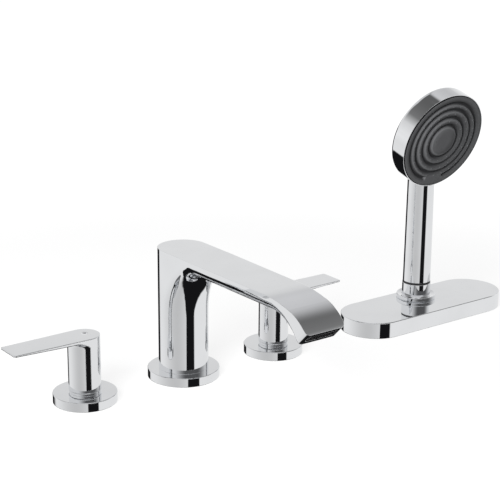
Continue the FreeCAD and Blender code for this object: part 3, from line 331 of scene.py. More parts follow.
def mix_colours(tree, share, first, second):
    """Blends two colours; each is a socket or a plain colour."""
    node = tree.nodes.new("ShaderNodeMix")
    node.data_type = "RGBA"
    tree.links.new(share, node.inputs["Factor"])
    for socket, colour in ((node.inputs[6], first), (node.inputs[7], second)):
        if isinstance(colour, bpy.types.NodeSocket):
            tree.links.new(colour, socket)
        else:
            socket.default_value = (*colour, 1.0)
    return node.outputs[2]


def new_group(name, inputs, outputs):
    """An empty shader group with float or vector sockets."""
    tree = bpy.data.node_groups.new(name, "ShaderNodeTree")
    for label, kind, default in inputs:
        socket = tree.interface.new_socket(label, in_out="INPUT", socket_type=kind)
        if default is not None:
            socket.default_value = default
    for label, kind in outputs:
        tree.interface.new_socket(label, in_out="OUTPUT", socket_type=kind)
    return tree, tree.nodes.new("NodeGroupInput"), tree.nodes.new("NodeGroupOutput")


def grain_group():
    """Fine uneven grain: a height for bumps and a mask that lightens and darkens the surface."""
    tree, given, result = new_group(
        "Fine Grain",
        [
            ("Vector", "NodeSocketVector", None),
            ("Scale", "NodeSocketFloat", GRAIN_SCALE),
            ("Amount", "NodeSocketFloat", 0.5),
        ],
        [("Height", "NodeSocketFloat"), ("Mask", "NodeSocketFloat")],
    )
    fine = add_node(tree, "ShaderNodeTexNoise", Detail=3.0, Roughness=0.6)
    broad = add_node(tree, "ShaderNodeTexNoise", Scale=45.0, Detail=2.0)
    for noise in (fine, broad):
        tree.links.new(given.outputs["Vector"], noise.inputs["Vector"])
    tree.links.new(given.outputs["Scale"], fine.inputs["Scale"])
    grains = calculate(tree, "ADD", fine.outputs["Fac"], broad.outputs["Fac"])
    mask = calculate(tree, "MULTIPLY", grains, given.outputs["Amount"], clamp=True)
    tree.links.new(fine.outputs["Fac"], result.inputs["Height"])
    tree.links.new(mask, result.inputs["Mask"])
    return tree


def turned_group():
    """Rings left by a lathe, round the Z axis of the given vector."""
    tree, given, result = new_group(
        "Lathe Marks",
        [("Vector", "NodeSocketVector", None), ("Spacing", "NodeSocketFloat", 0.0004)],
        [("Height", "NodeSocketFloat")],
    )
    split = tree.nodes.new("ShaderNodeSeparateXYZ")
    tree.links.new(given.outputs["Vector"], split.inputs[0])
    x, y, z = split.outputs
    x_squared = calculate(tree, "MULTIPLY", x, x)
    y_squared = calculate(tree, "MULTIPLY", y, y)
    radius = calculate(tree, "SQRT", calculate(tree, "ADD", x_squared, y_squared))
    reach = calculate(tree, "ADD", radius, z)
    waves = calculate(tree, "DIVIDE", reach, given.outputs["Spacing"])
    height = calculate(tree, "PINGPONG", waves, 0.5)
    tree.links.new(height, result.inputs["Height"])
    return tree


GROUPS = {"grain": grain_group(), "turned": turned_group()}


def use_group(tree, name, vector, **values):
    """Places a shared group, reading the given vector, with plain values on its inputs."""
    node = tree.nodes.new("ShaderNodeGroup")
    node.node_tree = GROUPS[name]
    tree.links.new(vector, node.inputs["Vector"])
    for key, value in values.items():
        node.inputs[key].default_value = value
    return node


def object_vector(tree, centre=(0.0, 0.0, 0.0), turn=(0.0, 0.0, 0.0)):
    """Object coordinates, moved so that centre becomes the origin, then turned."""
    coordinates = tree.nodes.new("ShaderNodeTexCoord")
    shift = add_node(tree, "ShaderNodeVectorMath", operation="SUBTRACT")
    shift.inputs[1].default_value = centre
    tree.links.new(coordinates.outputs["Object"], shift.inputs[0])
    mapping = tree.nodes.new("ShaderNodeMapping")
    mapping.inputs["Rotation"].default_value = turn
    tree.links.new(shift.outputs[0], mapping.inputs["Vector"])
    return mapping.outputs["Vector"]


def distance_from_axis(tree, vector):
    """How far a point lies from the Z axis of the given vector."""
    flat = add_node(tree, "ShaderNodeVectorMath", operation="MULTIPLY")
    flat.inputs[1].default_value = (1.0, 1.0, 0.0)
    tree.links.new(vector, flat.inputs[0])
    distance = add_node(tree, "ShaderNodeVectorMath", operation="LENGTH")
    tree.links.new(flat.outputs[0], distance.inputs[0])
    return distance.outputs["Value"]


def start_material(name, **plain):
    """A material with its Principled shader, whose plain sockets are set by name."""
    material = bpy.data.materials.new(name)
    material.use_nodes = True
    tree = material.node_tree
    shader = tree.nodes["Principled BSDF"]
    for key, value in plain.items():
        shader.inputs[key.replace("_", " ")].default_value = value
    return material, tree, shader


def bump(tree, shader, height, distance, strength=1.0, normal=None):
    """Roughens the shader's normal by a height, on top of another normal where one is given."""
    node = add_node(tree, "ShaderNodeBump", Distance=distance, Strength=strength)
    tree.links.new(height, node.inputs["Height"])
    if normal:
        tree.links.new(normal, node.inputs["Normal"])
    tree.links.new(node.outputs["Normal"], shader.inputs["Normal"])


# Finishes


def chrome(name, rounding=1.0):
    """Mirror chrome: faint polishing haze in patches, and edges rounded by the edge radius."""
    look = bpy.context.scene.mixer_chrome
    material, tree, shader = start_material(name, Metallic=1.0)
    vector = object_vector(tree)
    haze = add_node(tree, "ShaderNodeTexNoise", Scale=26.0, Detail=4.0, Roughness=0.55)
    tree.links.new(vector, haze.inputs["Vector"])
    patches = step_up(tree, haze.outputs["Fac"], *HAZE_STEP)
    hazy = look.polish * HAZE_ROUGHNESS
    clear = look.polish * CLEAR_ROUGHNESS
    rough = calculate(tree, "MULTIPLY_ADD", patches, hazy, clear)
    tree.links.new(rough, shader.inputs["Roughness"])
    darker = [channel * HAZE_TINT for channel in look.tint]
    tree.links.new(mix_colours(tree, patches, look.tint, darker), shader.inputs["Base Color"])
    rounded = add_node(tree, "ShaderNodeBevel", samples=6, Radius=look.edge_radius * rounding)
    ripple = add_node(tree, "ShaderNodeTexNoise", Scale=14.0, Detail=1.0)
    tree.links.new(vector, ripple.inputs["Vector"])
    bump(
        tree,
        shader,
        ripple.outputs["Fac"],
        RIPPLE_HEIGHT,
        RIPPLE_STRENGTH,
        rounded.outputs["Normal"],
    )
    return material


def grained(name, colour, roughness, grain_scale=GRAIN_SCALE, **plain):
    """A moulded or ground surface with fine grain and slightly uneven colour."""
    material, tree, shader = start_material(name, **plain)
    grain = use_group(tree, "grain", object_vector(tree), Scale=grain_scale)
    mask = grain.outputs["Mask"]
    light = [min(1.0, channel * GRAIN_LIGHT) for channel in colour]
    dark = [channel * GRAIN_DARK for channel in colour]
    tree.links.new(mix_colours(tree, mask, dark, light), shader.inputs["Base Color"])
    smoothest = roughness - GRAIN_ROUGHNESS / 2
    rough = calculate(tree, "MULTIPLY_ADD", mask, GRAIN_ROUGHNESS, smoothest)
    tree.links.new(rough, shader.inputs["Roughness"])
    bump(tree, shader, grain.outputs["Height"], GRAIN_HEIGHT)
    return material


def machined_brass(name, place=(0.0, 0.0)):
    """Turned brass with lathe marks round the upright axis that stands at a place on the deck."""
    look = bpy.context.scene.mixer_brass
    material, tree, shader = start_material(name, Metallic=1.0)
    vector = object_vector(tree, (*place, 0.0))
    mask = use_group(tree, "grain", vector, Scale=BRASS_GRAIN_SCALE).outputs["Mask"]
    dark = [channel * BRASS_DARK for channel in look.colour]
    tree.links.new(mix_colours(tree, mask, look.colour, dark), shader.inputs["Base Color"])
    rough = calculate(tree, "MULTIPLY_ADD", mask, BRASS_ROUGHNESS, BRASS_ROUGHNESS)
    tree.links.new(rough, shader.inputs["Roughness"])
    marks = use_group(tree, "turned", vector)
    bump(tree, shader, marks.outputs["Height"], LATHE_HEIGHT)
    return material


def groove_bands(tree, reach, whole, profile):
    """A band along every groove; whole is 0 where the outermost groove is interrupted."""
    bands = []
    for circles in (GROOVE_CIRCLES[:-1], GROOVE_CIRCLES[-1:]):
        stops = [(0.0, 0.0)]
        for middle in circles:
            stops += [((middle + place) / FACE_RADIUS, level) for place, level in profile]
        bands.append(ramp(tree, reach, stops))
    inner, outermost = bands
    return calculate(tree, "MAXIMUM", inner, calculate(tree, "MULTIPLY", outermost, whole))


def shaded_face(colour):
    """Matt face plastic with painted shade in its grooves, a painted highlight on their inner lip
    and a painted shadow along the rim next to the chrome.
    """
    material = grained("Spray Face", colour, 0.5, grain_scale=1400.0, Specular_IOR_Level=0.05)
    tree = material.node_tree
    base = tree.nodes["Principled BSDF"].inputs["Base Color"]
    vector = object_vector(tree, FACE_CENTRE, (-math.pi / 2 - HEAD_TILT, 0.0, 0.0))
    distance = distance_from_axis(tree, vector)
    reach = calculate(tree, "DIVIDE", distance, FACE_RADIUS)
    split = tree.nodes.new("ShaderNodeSeparateXYZ")
    tree.links.new(vector, split.inputs[0])
    across, upwards, _ = split.outputs
    around = calculate(tree, "ARCTAN2", across, calculate(tree, "MULTIPLY", upwards, -1.0))
    half_gap = math.radians(GROOVE_GAP / 2)
    gap = between(tree, around, -half_gap, half_gap, GAP_SOFTNESS)
    whole = calculate(tree, "SUBTRACT", 1.0, gap)
    # Painted highlight: the face colour made brighter on the inner lip of every groove
    highlight_colour = [channel * LIP_HIGHLIGHT_BRIGHTNESS for channel in colour]
    lip_highlights = groove_bands(tree, reach, whole, GROOVE_LIP_HIGHLIGHT)
    tint = mix_colours(tree, lip_highlights, base.links[0].from_socket, highlight_colour)
    # Painted shade: every groove darkened towards near black
    grooves = groove_bands(tree, reach, whole, GROOVE_SHADE)
    # The painted shadow along the rim next to the chrome joins the painted shade of the grooves
    shade = calculate(tree, "MAXIMUM", grooves, step_up(tree, distance, *RIM_SHADOW))
    tree.links.new(mix_colours(tree, shade, tint, NEAR_BLACK), base)
    return material


def spotted_enamel(name, centre):
    """Dark enamel dot in a pale ring."""
    material, tree, shader = start_material(name, Roughness=0.3)
    vector = object_vector(tree, centre)
    ring = step_up(tree, distance_from_axis(tree, vector), *MARKER_EDGE)
    tint = mix_colours(tree, ring, (0.03, 0.03, 0.035), (0.75, 0.76, 0.78))
    tree.links.new(tint, shader.inputs["Base Color"])
    return material


# Building blocks for pieces


def deselect():
    bpy.ops.object.select_all(action="DESELECT")


def select_only(piece):
    """Selects one piece, and nothing else, and makes it the active one."""
    deselect()
    piece.select_set(True)
    bpy.context.view_layer.objects.active = piece


def settle(piece, name, material, body):
    """Names a modelled piece, applies its place, and gives it its material and its body."""
    select_only(piece)
    bpy.ops.object.transform_apply(location=True, rotation=True, scale=True)
    piece.name = name
    piece.data.name = name
    piece.visible_glossy = body != "deck_set"
    piece.data.materials.append(material)
    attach(piece, body)


def start_disc(sides, radius, height):
    """A flat disc round the Z axis, left in edit mode with its face selected."""
    deselect()
    bpy.ops.mesh.primitive_circle_add(vertices=sides, radius=radius, fill_type="NGON")
    disc = bpy.context.object
    bpy.ops.object.mode_set(mode="EDIT")
    bpy.ops.mesh.select_mode(type="FACE")
    bpy.ops.mesh.select_all(action="SELECT")
    bpy.ops.transform.translate(value=(0.0, 0.0, height))
    return disc


def extrude_up(height):
    """Extrudes the selected face straight up, or down where the height is negative."""
    bpy.ops.mesh.extrude_region_move(TRANSFORM_OT_translate={"value": (0.0, 0.0, height)})


def raise_ring(height, narrowing):
    """Extrudes the selected face by a height and narrows its new rim."""
    extrude_up(height)
    bpy.ops.transform.resize(value=(narrowing, narrowing, 1.0))


def inset_to(radius, wanted, drop):
    """Insets the selected round face to the wanted radius and lowers what is inside it."""
    bpy.ops.mesh.inset(thickness=radius - wanted)
    bpy.ops.transform.translate(value=(0.0, 0.0, -drop))
    return wanted


def finish_shape(smooth_below):
    """Turns all faces outwards, leaves edit mode and smooths edges below an angle in degrees."""
    bpy.ops.mesh.select_all(action="SELECT")
    bpy.ops.mesh.normals_make_consistent(inside=False)
    bpy.ops.object.mode_set(mode="OBJECT")
    bpy.ops.object.shade_smooth_by_angle(angle=math.radians(smooth_below))


# Modelled pieces


def model_nozzle(diameter, height):
    """A rounded soft nozzle with its spray hole, upright at the origin."""
    nozzle = start_disc(NOZZLE_SIDES, diameter / 2, -NOZZLE_SUNK)
    foot = NOZZLE_SUNK
    for share, narrowing in NOZZLE_STEPS:
        raise_ring(foot + height * share, narrowing)
        foot = 0.0
    bpy.ops.mesh.inset(thickness=diameter * HOLE_RIM)
    raise_ring(-height * HOLE_DEPTH, HOLE_NARROWING)
    finish_shape(smooth_below=50)
    return nozzle


def turn_into_head(piece, lift=0.0):
    """Lays a piece modelled on the Z axis on the front of the tilted shower head."""
    tilt = Matrix.Rotation(math.pi / 2 + HEAD_TILT, 4, "X")
    lifted = Matrix.Translation((0.0, 0.0, lift))
    piece.matrix_world = Matrix.Translation(FACE_CENTRE) @ tilt @ lifted @ piece.matrix_world


def close_outermost_groove(front):
    """Flattens the outermost groove again where it is interrupted at the foot."""
    middle = max(GROOVE_CIRCLES)
    just_inside = GROOVE_HALF_WIDTH * 0.99
    bpy.ops.mesh.select_all(action="DESELECT")
    bpy.ops.object.mode_set(mode="OBJECT")
    for vertex in front.data.vertices:
        x, y, _ = vertex.co
        in_groove = abs(math.hypot(x, y) - middle) < just_inside
        in_gap = abs(math.degrees(math.atan2(y, x)) + 90) < GROOVE_GAP / 2
        vertex.select = in_groove and in_gap
    bpy.ops.object.mode_set(mode="EDIT")
    bpy.ops.transform.resize(value=(1.0, 1.0, 0.0), center_override=(0.0, 0.0, FACE_PROUD))


def model_spray_face(depth):
    """The dark front: four soft ring grooves, the outermost one open at the foot."""
    front = start_disc(FACE_SIDES, INSIDE_RADIUS, -FACE_BACK)
    extrude_up(FACE_BACK)
    extrude_up(0.0)
    flange = FACE_RADIUS / INSIDE_RADIUS
    bpy.ops.transform.resize(value=(flange, flange, 1.0), center_override=(0.0, 0.0, 0.0))
    extrude_up(FACE_PROUD * FACE_WALL)
    radius = FACE_RADIUS
    for inward, rise in FACE_RIM_STEPS:
        radius = inset_to(radius, radius - FACE_PROUD * inward, -FACE_PROUD * rise)
    for middle in reversed(GROOVE_CIRCLES):
        reached = 0.0
        for place, share in GROOVE_PROFILE:
            wanted = middle + GROOVE_HALF_WIDTH * place
            radius = inset_to(radius, wanted, (share - reached) * depth)
            reached = share
    bpy.ops.mesh.inset(thickness=radius / 2)
    close_outermost_groove(front)
    finish_shape(smooth_below=40)
    return front


def model_nozzle_mat():
    """Soft mat behind the front, with a rounded rim."""
    mat = start_disc(MAT_SIDES, INSIDE_RADIUS, -FACE_BACK - MAT_THICKNESS)
    extrude_up(MAT_THICKNESS * (1 - MAT_RIM_RISE))
    inner_radius = INSIDE_RADIUS - MAT_THICKNESS * MAT_RIM_INWARD
    inset_to(INSIDE_RADIUS, inner_radius, -MAT_THICKNESS * MAT_RIM_RISE)
    finish_shape(smooth_below=40)
    return mat


def wind_thread(radius, pitch, depth, length, foot, turn=(0.0, 0.0, 0.0)):
    """One helical ridge round the Z axis, then turned and moved so that it starts at its foot."""
    deselect()
    bpy.ops.mesh.primitive_circle_add(
        vertices=3,
        radius=depth * RIDGE_RADIUS,
        fill_type="NGON",
        location=(radius - depth * RIDGE_SUNK, 0.0, 0.0),
        rotation=(math.pi / 2, 0.0, -math.pi / 2),
    )
    ridge = bpy.context.object
    bpy.ops.object.transform_apply(location=True, rotation=True, scale=True)
    screw = ridge.modifiers.new("Turns", "SCREW")
    screw.angle = 2 * math.pi
    screw.screw_offset = pitch
    screw.iterations = max(1, int(length / pitch) - 1)
    screw.steps = screw.render_steps = THREAD_STEPS
    screw.use_normal_calculate = True
    bpy.ops.object.modifier_apply(modifier=screw.name)
    bpy.ops.object.mode_set(mode="EDIT")
    bpy.ops.mesh.select_all(action="SELECT")
    bpy.ops.mesh.fill_holes(sides=3)
    finish_shape(smooth_below=35)
    ridge.rotation_euler = turn
    ridge.location = foot
    return ridge


def paint(material, *names):
    """Gives CAD nodes their material."""
    for name in names:
        slots = NODES[name].data.materials
        slots.clear()
        slots.append(material)


def both(*names):
    """The left and the right node of each name."""
    return [f"{side}_{name}" for side in SIDES for name in names]


# Nodes that the chrome shows in its reflections; the others are inside or below the deck
MIRRORED = (
    *both("handle", "base_ring", "escutcheon"),
    "spout_body",
    "spout_escutcheon",
    "stream_former",
    "deck_plate",
    "holder_socket",
    "holder_liner",
    "shower_shell",
)


# One operator for each group of pieces


class MIXER_OT_covers(bpy.types.Operator):
    """Chrome for the escutcheons, the rings on them, the deck plate and the holder"""

    bl_idname = "mixer.covers"
    bl_label = "Covers and Holder"

    def execute(self, context):
        paint(chrome("Chrome Covers"), *both("escutcheon", "base_ring"), "spout_escutcheon")
        paint(chrome("Chrome Plate"), "deck_plate", "holder_socket")
        paint(grained("Black Lining", (0.018, 0.018, 0.02), 0.45), "holder_liner")
        return {"FINISHED"}


class MIXER_OT_levers(bpy.types.Operator):
    """Chrome levers with the small enamel marker in their tops"""

    bl_idname = "mixer.levers"
    bl_label = "Levers"

    def execute(self, context):
        paint(chrome("Chrome Levers", LEVER_ROUNDING), *both("handle"))
        for side in SIDES:
            low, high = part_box(f"{side}_marker")
            middle = [(a + b) / 2 for a, b in zip(low, high)]
            paint(spotted_enamel(f"Marker Enamel {side}", middle), f"{side}_marker")
        insert = grained("Insert Plastic", (0.78, 0.78, 0.76), 0.5)
        paint(insert, *both("handle_insert"), "valve_glide_bushes")
        steel = grained("Screw Steel", (0.5, 0.5, 0.51), 0.3, Metallic=1.0)
        paint(steel, *both("handle_screw"), "spout_grub_screw", "frame_screws")
        return {"FINISHED"}


class MIXER_OT_spout(bpy.types.Operator):
    """Chrome spout with its dark stream former"""

    bl_idname = "mixer.spout"
    bl_label = "Spout"

    def execute(self, context):
        paint(chrome("Chrome Spout"), "spout_body")
        paint(grained("Stream Former Plastic", (0.03, 0.03, 0.032), 0.4), "stream_former")
        return {"FINISHED"}


class MIXER_OT_hand_shower(bpy.types.Operator):
    """Chrome hand shower with its matt face and soft nozzles"""

    bl_idname = "mixer.hand_shower"
    bl_label = "Hand Shower"

    def execute(self, context):
        look = context.scene.mixer_shower
        paint(chrome("Chrome Hand Shower", SHOWER_ROUNDING), "shower_shell")
        front = model_spray_face(look.groove_depth)
        turn_into_head(front)
        face = shaded_face(look.face_colour)
        settle(front, "Grooved_Spray_Face", face, "hand_shower")
        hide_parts("spray_face")
        soft = grained("Soft Nozzle", look.face_colour, 0.55, Specular_IOR_Level=0.05)
        mat = model_nozzle_mat()
        turn_into_head(mat)
        settle(mat, "Soft_Nozzle_Mat", soft, "hand_shower")
        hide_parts("nozzle_mat")
        self.add_nozzles(look, soft)
        paint(grained("Chamber Plastic", (0.7, 0.7, 0.68), 0.5), "chamber_plate", "inner_pipe")
        return {"FINISHED"}

    def add_nozzles(self, look, material):
        """One nozzle is modelled and copied to every place on the three circles."""
        pattern = model_nozzle(look.nozzle_diameter, look.nozzle_height)
        for ring, (radius, count) in enumerate(NOZZLE_CIRCLES, start=1):
            for k in range(count):
                angle = 2 * math.pi * k / count
                select_only(pattern)
                bpy.ops.object.duplicate()
                nozzle = bpy.context.object
                nozzle.matrix_world = Matrix.Translation(
                    (radius * math.cos(angle), radius * math.sin(angle), 0.0)
                )
                turn_into_head(nozzle, FACE_PROUD)
                name = f"Nozzle_{ring}_{k + 1:02d}"
                settle(nozzle, name, material, "hand_shower")
        bpy.data.objects.remove(pattern)


class MIXER_OT_valves(bpy.types.Operator):
    """Brass valves with ceramic discs and rubber seals"""

    bl_idname = "mixer.valves"
    bl_label = "Valves"

    def execute(self, context):
        for side, place in VALVE_PLACES.items():
            brass = machined_brass(f"Valve Brass {side}", place)
            for piece in ("valve_body", "headwork_body", "spindle", "neck_bush"):
                paint(brass, f"{side}_{piece}")
        ceramic = grained("Lapped Ceramic", (0.84, 0.83, 0.8), 0.2, grain_scale=2000.0)
        paint(ceramic, *both("fixed_disc", "turning_disc"))
        rubber = grained("Seal Rubber", (0.02, 0.02, 0.02), 0.55)
        paint(rubber, *both("spindle_o_rings"), "valve_disc_seals", "spout_o_rings")
        return {"FINISHED"}


class MIXER_OT_fixings(bpy.types.Operator):
    """Shanks, nuts, washers, gaskets and the mixing tee under the deck"""

    bl_idname = "mixer.fixings"
    bl_label = "Deck Fixings"

    def execute(self, context):
        paint(machined_brass("Holder Brass", HOLDER_PLACE), "holder_shank", "hose_nipple")
        brass = machined_brass("Deck Fixing Brass")
        paint(brass, "spout_shank", "mixing_tee", "spout_post", "shank_nuts", "valve_top_nuts")
        self.add_threads(context.scene.mixer_brass, brass)
        steel = grained("Washer Steel", (0.55, 0.55, 0.56), 0.32, Metallic=1.0)
        paint(steel, "clamp_washers")
        rubber = grained("Gasket Rubber", (0.025, 0.025, 0.025), 0.6)
        paint(rubber, "deck_gaskets", "plate_gasket", "escutcheon_foot_seals")
        paint(grained("Frame Plastic", (0.03, 0.03, 0.032), 0.5), "plate_frame")
        return {"FINISHED"}

    def add_threads(self, look, brass):
        """Threads of the shanks below the deck and in its holes, and of every pipe end."""
        depth = look.thread_depth
        for station, place, runs in SHANK_RUNS:
            for number, (low, high) in enumerate(runs, start=1):
                foot = (*place, low)
                ridge = wind_thread(SHANK_RADIUS, look.shank_pitch, depth, high - low, foot)
                settle(ridge, f"{station}_Shank_Thread_{number}", brass, "deck_set")
        mounts = {mount["name"]: mount for mount in frame["record"]["mounts"]}
        length = PIPE_HALF_RUN * 2
        for name in PIPE_ENDS:
            outward = Vector(mounts[name]["axis"])
            foot = Vector(mounts[name]["pos_m"]) - outward * PIPE_HALF_RUN
            turn = outward.to_track_quat("Z", "X").to_euler()
            ridge = wind_thread(PIPE_RADIUS, look.pipe_pitch, depth / 2, length, foot, turn)
            settle(ridge, f"{name}_thread", brass, "deck_set")


# Camera, where the photograph was taken from
CAMERA_AZIMUTH = math.radians(-36.74)
CAMERA_ELEVATION = math.radians(16.81)
CAMERA_ROLL = math.radians(0.49)
CAMERA_PLACE = Vector((-0.6825, -1.0209, 0.4977))
CAMERA_LENS = 97.14
CAMERA_SIGHT = 50.0

# What the chrome sees, measured from its reflections in the photograph. Headings are in degrees
# to the right of the camera, and heights are sines of the height angle.

# Light of the tent by height
TENT_LEVELS = (
    (-1.0, 0.85),
    (-0.2, 0.85),
    (0.0, 0.95),
    (0.42, 0.72),
    (0.66, 0.20),
    (0.94, 0.12),
    (0.97, 0.80),
    (1.0, 0.85),
)

# Depth below which all is dark, by heading, and the softness of that edge
DARK_BELOW = (
    (-180, 0.42),
    (-122, 0.40),
    (-112, 0.48),
    (-106, 0.70),
    (-98, 0.91),
    (-75, 0.95),
    (-35, 0.93),
    (-10, 0.88),
    (3, 0.79),
    (12, 0.62),
    (18, 0.31),
    (51, 0.31),
    (58, 0.47),
    (66, 0.56),
    (78, 0.64),
    (95, 0.69),
    (130, 0.70),
    (160, 0.64),
    (180, 0.50),
)
DARK_EDGE = (-0.02, 0.03)

# Openings, flags, shade and board: first and last heading, and softness where there are three
# numbers. A foot or top gives the heights between which a piece of the studio begins or ends
OPENING_BEFORE = (-55, 60, 15)
OPENING_ASIDE = (-172, -118, 8)
OPENING_BEHIND_RIGHT = (116, 178)
OPENING_BEHIND_LEFT = (-180, -165)
OPENING_FOOT = (0.36, 0.54)
OPENING_ASIDE_TOP = (0.82, 0.90)
OPENING_LIGHT = (0.66, 0.66, 0.67)
NEAR_FLAG = (18.5, 54, 2.5)
NEAR_FLAG_TOP = (-0.20, -0.12)
FAR_FLAG = (-166, -131, 3)
FAR_FLAG_TOP = (0.05, 0.14)
SHADE = (-70, 20, 45)
SHADE_STRENGTH = 0.35
BOARD = (-15, 100, 32)
BOARD_HEIGHTS = (0.10, 0.50, 0.06)
DIM_GREY = (0.10, 0.10, 0.102)
MATT_LIGHT = (0.13, 0.13, 0.132)
WHITE = (1.0, 1.0, 1.0)


def sector(tree, heading, first, last, softness):
    """1 between two headings in degrees, with soft ends."""
    limits = [math.radians(angle) for angle in (first, last, softness)]
    return between(tree, heading, *limits)


def look_around(tree):
    """Heading in radians to the right of the camera, and height, of a direction in the world."""
    coordinates = tree.nodes.new("ShaderNodeTexCoord")
    facing = tree.nodes.new("ShaderNodeMapping")
    facing.inputs["Rotation"].default_value = (0.0, 0.0, -CAMERA_AZIMUTH)
    tree.links.new(coordinates.outputs["Generated"], facing.inputs["Vector"])
    split = tree.nodes.new("ShaderNodeSeparateXYZ")
    tree.links.new(facing.outputs["Vector"], split.inputs[0])
    rightwards, away, height = split.outputs
    towards = calculate(tree, "MULTIPLY", away, -1.0)
    return calculate(tree, "ARCTAN2", rightwards, towards), height


def tent_light(tree, heading, height):
    """The light tent, with pale openings high up behind, before and beside the object."""
    up = calculate(tree, "MULTIPLY_ADD", height, 0.5, 0.5)
    tent = ramp(tree, up, [((sine + 1) / 2, level) for sine, level in TENT_LEVELS])
    behind_right = step_up(tree, heading, *map(math.radians, OPENING_BEHIND_RIGHT))
    behind_left = step_down(tree, heading, *map(math.radians, OPENING_BEHIND_LEFT))
    behind = calculate(tree, "ADD", behind_right, behind_left)
    before = sector(tree, heading, *OPENING_BEFORE)
    aside = sector(tree, heading, *OPENING_ASIDE)
    aside = calculate(tree, "MULTIPLY", aside, step_down(tree, height, *OPENING_ASIDE_TOP))
    openings = calculate(tree, "MAXIMUM", behind, before)
    openings = calculate(tree, "MAXIMUM", openings, aside)
    high = step_up(tree, height, *OPENING_FOOT)
    openings = calculate(tree, "MULTIPLY", openings, high, clamp=True)
    return mix_colours(tree, openings, tent, OPENING_LIGHT)


def dark_flags(tree, heading, height, low):
    """Where it is black: the near and far upright flags, and all that is deep below."""
    near = sector(tree, heading, *NEAR_FLAG)
    near = calculate(tree, "MULTIPLY", near, step_down(tree, height, *NEAR_FLAG_TOP))
    far = calculate(tree, "MULTIPLY", sector(tree, heading, *FAR_FLAG), low)
    around = calculate(tree, "MULTIPLY_ADD", heading, 0.5 / math.pi, 0.5)
    depth = ramp(tree, around, [(degrees / 360 + 0.5, sine) for degrees, sine in DARK_BELOW])
    below = step_down(tree, calculate(tree, "ADD", height, depth), *DARK_EDGE)
    flags = calculate(tree, "MAXIMUM", near, far)
    return calculate(tree, "MAXIMUM", flags, below)


def studio_world():
    """Plain white to the eye and dim to matt surfaces; mirrors see a light tent with dark flags."""
    world = bpy.data.worlds.new("Light Tent")
    bpy.context.scene.world = world
    world.use_nodes = True
    tree = world.node_tree
    tree.nodes.clear()
    heading, height = look_around(tree)
    low = step_down(tree, height, *FAR_FLAG_TOP)
    shade = calculate(tree, "MULTIPLY", sector(tree, heading, *SHADE), low)
    shade = calculate(tree, "MULTIPLY", shade, SHADE_STRENGTH)
    raised = between(tree, height, *BOARD_HEIGHTS)
    board = calculate(tree, "MULTIPLY", raised, sector(tree, heading, *BOARD))
    shaded = mix_colours(tree, shade, tent_light(tree, heading, height), DIM_GREY)
    boarded = mix_colours(tree, board, shaded, DIM_GREY)
    flags = dark_flags(tree, heading, height, low)
    flagged = mix_colours(tree, flags, boarded, NEAR_BLACK)
    rays = tree.nodes.new("ShaderNodeLightPath")
    reflected = mix_colours(tree, rays.outputs["Is Glossy Ray"], MATT_LIGHT, flagged)
    seen = mix_colours(tree, rays.outputs["Is Camera Ray"], reflected, WHITE)
    background = tree.nodes.new("ShaderNodeBackground")
    tree.links.new(seen, background.inputs["Color"])
    output = tree.nodes.new("ShaderNodeOutputWorld")
    tree.links.new(background.outputs[0], output.inputs[0])


# The floor lies just under the feet, so that their undersides and it don't share one plane. Its
# grey takes the shadow, and its glow to the camera rises outwards between two radii
FLOOR_LEVEL = -0.0003
FLOOR_GREY = (0.24, 0.24, 0.24, 1.0)
FLOOR_GLOW = 0.86
FLOOR_GLOW_RISE = 0.15
FLOOR_RISE_RADII = (0.45, 1.0)

# The soft lamp, up on the left
LAMP_PLACE = (-1.4, -0.9, 0.85)
LAMP_AIM = Vector((0.1, 0.0, 0.05))
LAMP_WIDTH = 1.2


def floor_material():
    """White to the eye, with the object's soft shadow left on it."""
    material = bpy.data.materials.new("Studio Floor")
    material.use_nodes = True
    tree = material.node_tree
    tree.nodes.clear()
    paper = add_node(tree, "ShaderNodeBsdfDiffuse", Color=FLOOR_GREY)
    glow = add_node(tree, "ShaderNodeEmission", Color=(*WHITE, 1.0))
    rays = tree.nodes.new("ShaderNodeLightPath")
    coordinates = tree.nodes.new("ShaderNodeTexCoord")
    reach = add_node(tree, "ShaderNodeVectorMath", operation="LENGTH")
    tree.links.new(coordinates.outputs["Object"], reach.inputs[0])
    outer = step_up(tree, reach.outputs["Value"], *FLOOR_RISE_RADII)
    glowing = calculate(tree, "MULTIPLY_ADD", outer, FLOOR_GLOW_RISE, FLOOR_GLOW)
    strength = calculate(tree, "MULTIPLY", rays.outputs["Is Camera Ray"], glowing)
    tree.links.new(strength, glow.inputs["Strength"])
    total = tree.nodes.new("ShaderNodeAddShader")
    tree.links.new(paper.outputs[0], total.inputs[0])
    tree.links.new(glow.outputs[0], total.inputs[1])
    output = tree.nodes.new("ShaderNodeOutputMaterial")
    tree.links.new(total.outputs[0], output.inputs[0])
    return material


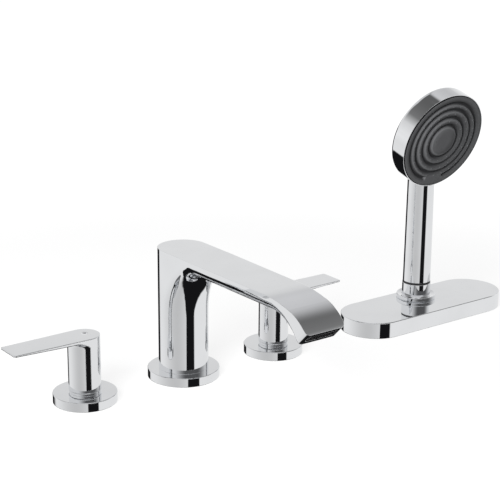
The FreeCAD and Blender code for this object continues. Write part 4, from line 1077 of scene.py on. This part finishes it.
class MIXER_OT_stage(bpy.types.Operator):
    """Pale floor at the deck's top, a soft lamp, the light tent and the camera"""

    bl_idname = "mixer.stage"
    bl_label = "Studio"

    def execute(self, context):
        look = context.scene.mixer_studio
        self.add_floor(look.floor_size)
        self.add_lamp(look.light_strength)
        for name, node in NODES.items():
            node.visible_glossy = name in MIRRORED
        studio_world()
        self.add_camera()
        context.scene.view_settings.view_transform = "Standard"
        return {"FINISHED"}

    def add_floor(self, size):
        deselect()
        bpy.ops.mesh.primitive_plane_add(size=size, location=(0.0, 0.0, FLOOR_LEVEL))
        floor = bpy.context.object
        floor.name = "Studio_Floor"
        floor.data.materials.append(floor_material())
        floor.visible_glossy = False

    def add_lamp(self, strength):
        bpy.ops.object.light_add(type="AREA", location=LAMP_PLACE)
        lamp = bpy.context.object
        lamp.name = "Soft_Lamp"
        lamp.data.shape = "DISK"
        lamp.data.size = LAMP_WIDTH
        lamp.data.energy = strength
        beam = LAMP_AIM - lamp.location
        lamp.rotation_euler = beam.to_track_quat("-Z", "Y").to_euler()
        lamp.visible_glossy = False

    def add_camera(self):
        bpy.ops.object.camera_add()
        camera = bpy.context.object
        camera.name = "Studio_Camera"
        camera.data.lens = CAMERA_LENS
        camera.data.clip_end = CAMERA_SIGHT
        level = math.cos(CAMERA_ELEVATION)
        back = Vector(
            (
                math.sin(CAMERA_AZIMUTH) * level,
                -math.cos(CAMERA_AZIMUTH) * level,
                math.sin(CAMERA_ELEVATION),
            )
        )
        right = Vector((math.cos(CAMERA_AZIMUTH), math.sin(CAMERA_AZIMUTH), 0.0))
        upwards = back.cross(right)
        rolled_right = right * math.cos(CAMERA_ROLL) + upwards * math.sin(CAMERA_ROLL)
        rolled_up = upwards * math.cos(CAMERA_ROLL) - right * math.sin(CAMERA_ROLL)
        turn = Matrix((rolled_right, rolled_up, back)).transposed()
        camera.matrix_world = Matrix.Translation(CAMERA_PLACE) @ turn.to_4x4()
        bpy.context.scene.camera = camera


class MIXER_PT_sidebar(bpy.types.Panel):
    """Lists the mixer's groups of pieces and their settings"""

    bl_idname = "MIXER_PT_sidebar"
    bl_label = "Bath Mixer"
    bl_space_type = "VIEW_3D"
    bl_region_type = "UI"
    bl_category = "Bath Mixer"

    def draw(self, context):
        for group in SETTINGS:
            settings = getattr(context.scene, group)
            for name in settings.__annotations__:
                self.layout.prop(settings, name)
        for operator in OPERATORS:
            self.layout.operator(operator.bl_idname)


SETTINGS = {
    "mixer_chrome": ChromeSettings,
    "mixer_shower": ShowerSettings,
    "mixer_brass": BrassSettings,
    "mixer_studio": StudioSettings,
}

OPERATORS = (
    MIXER_OT_covers,
    MIXER_OT_levers,
    MIXER_OT_spout,
    MIXER_OT_hand_shower,
    MIXER_OT_valves,
    MIXER_OT_fixings,
    MIXER_OT_stage,
)

CLASSES = (*SETTINGS.values(), *OPERATORS, MIXER_PT_sidebar)


def register():
    for item in CLASSES:
        bpy.utils.register_class(item)
    for name, group in SETTINGS.items():
        setattr(bpy.types.Scene, name, bpy.props.PointerProperty(type=group))


def unregister():
    for name in SETTINGS:
        delattr(bpy.types.Scene, name)
    for item in reversed(CLASSES):
        bpy.utils.unregister_class(item)


def main():
    register()
    bpy.ops.mixer.covers()
    bpy.ops.mixer.levers()
    bpy.ops.mixer.spout()
    bpy.ops.mixer.hand_shower()
    bpy.ops.mixer.valves()
    bpy.ops.mixer.fixings()
    bpy.ops.mixer.stage()


if __name__ == "__main__":
    main()
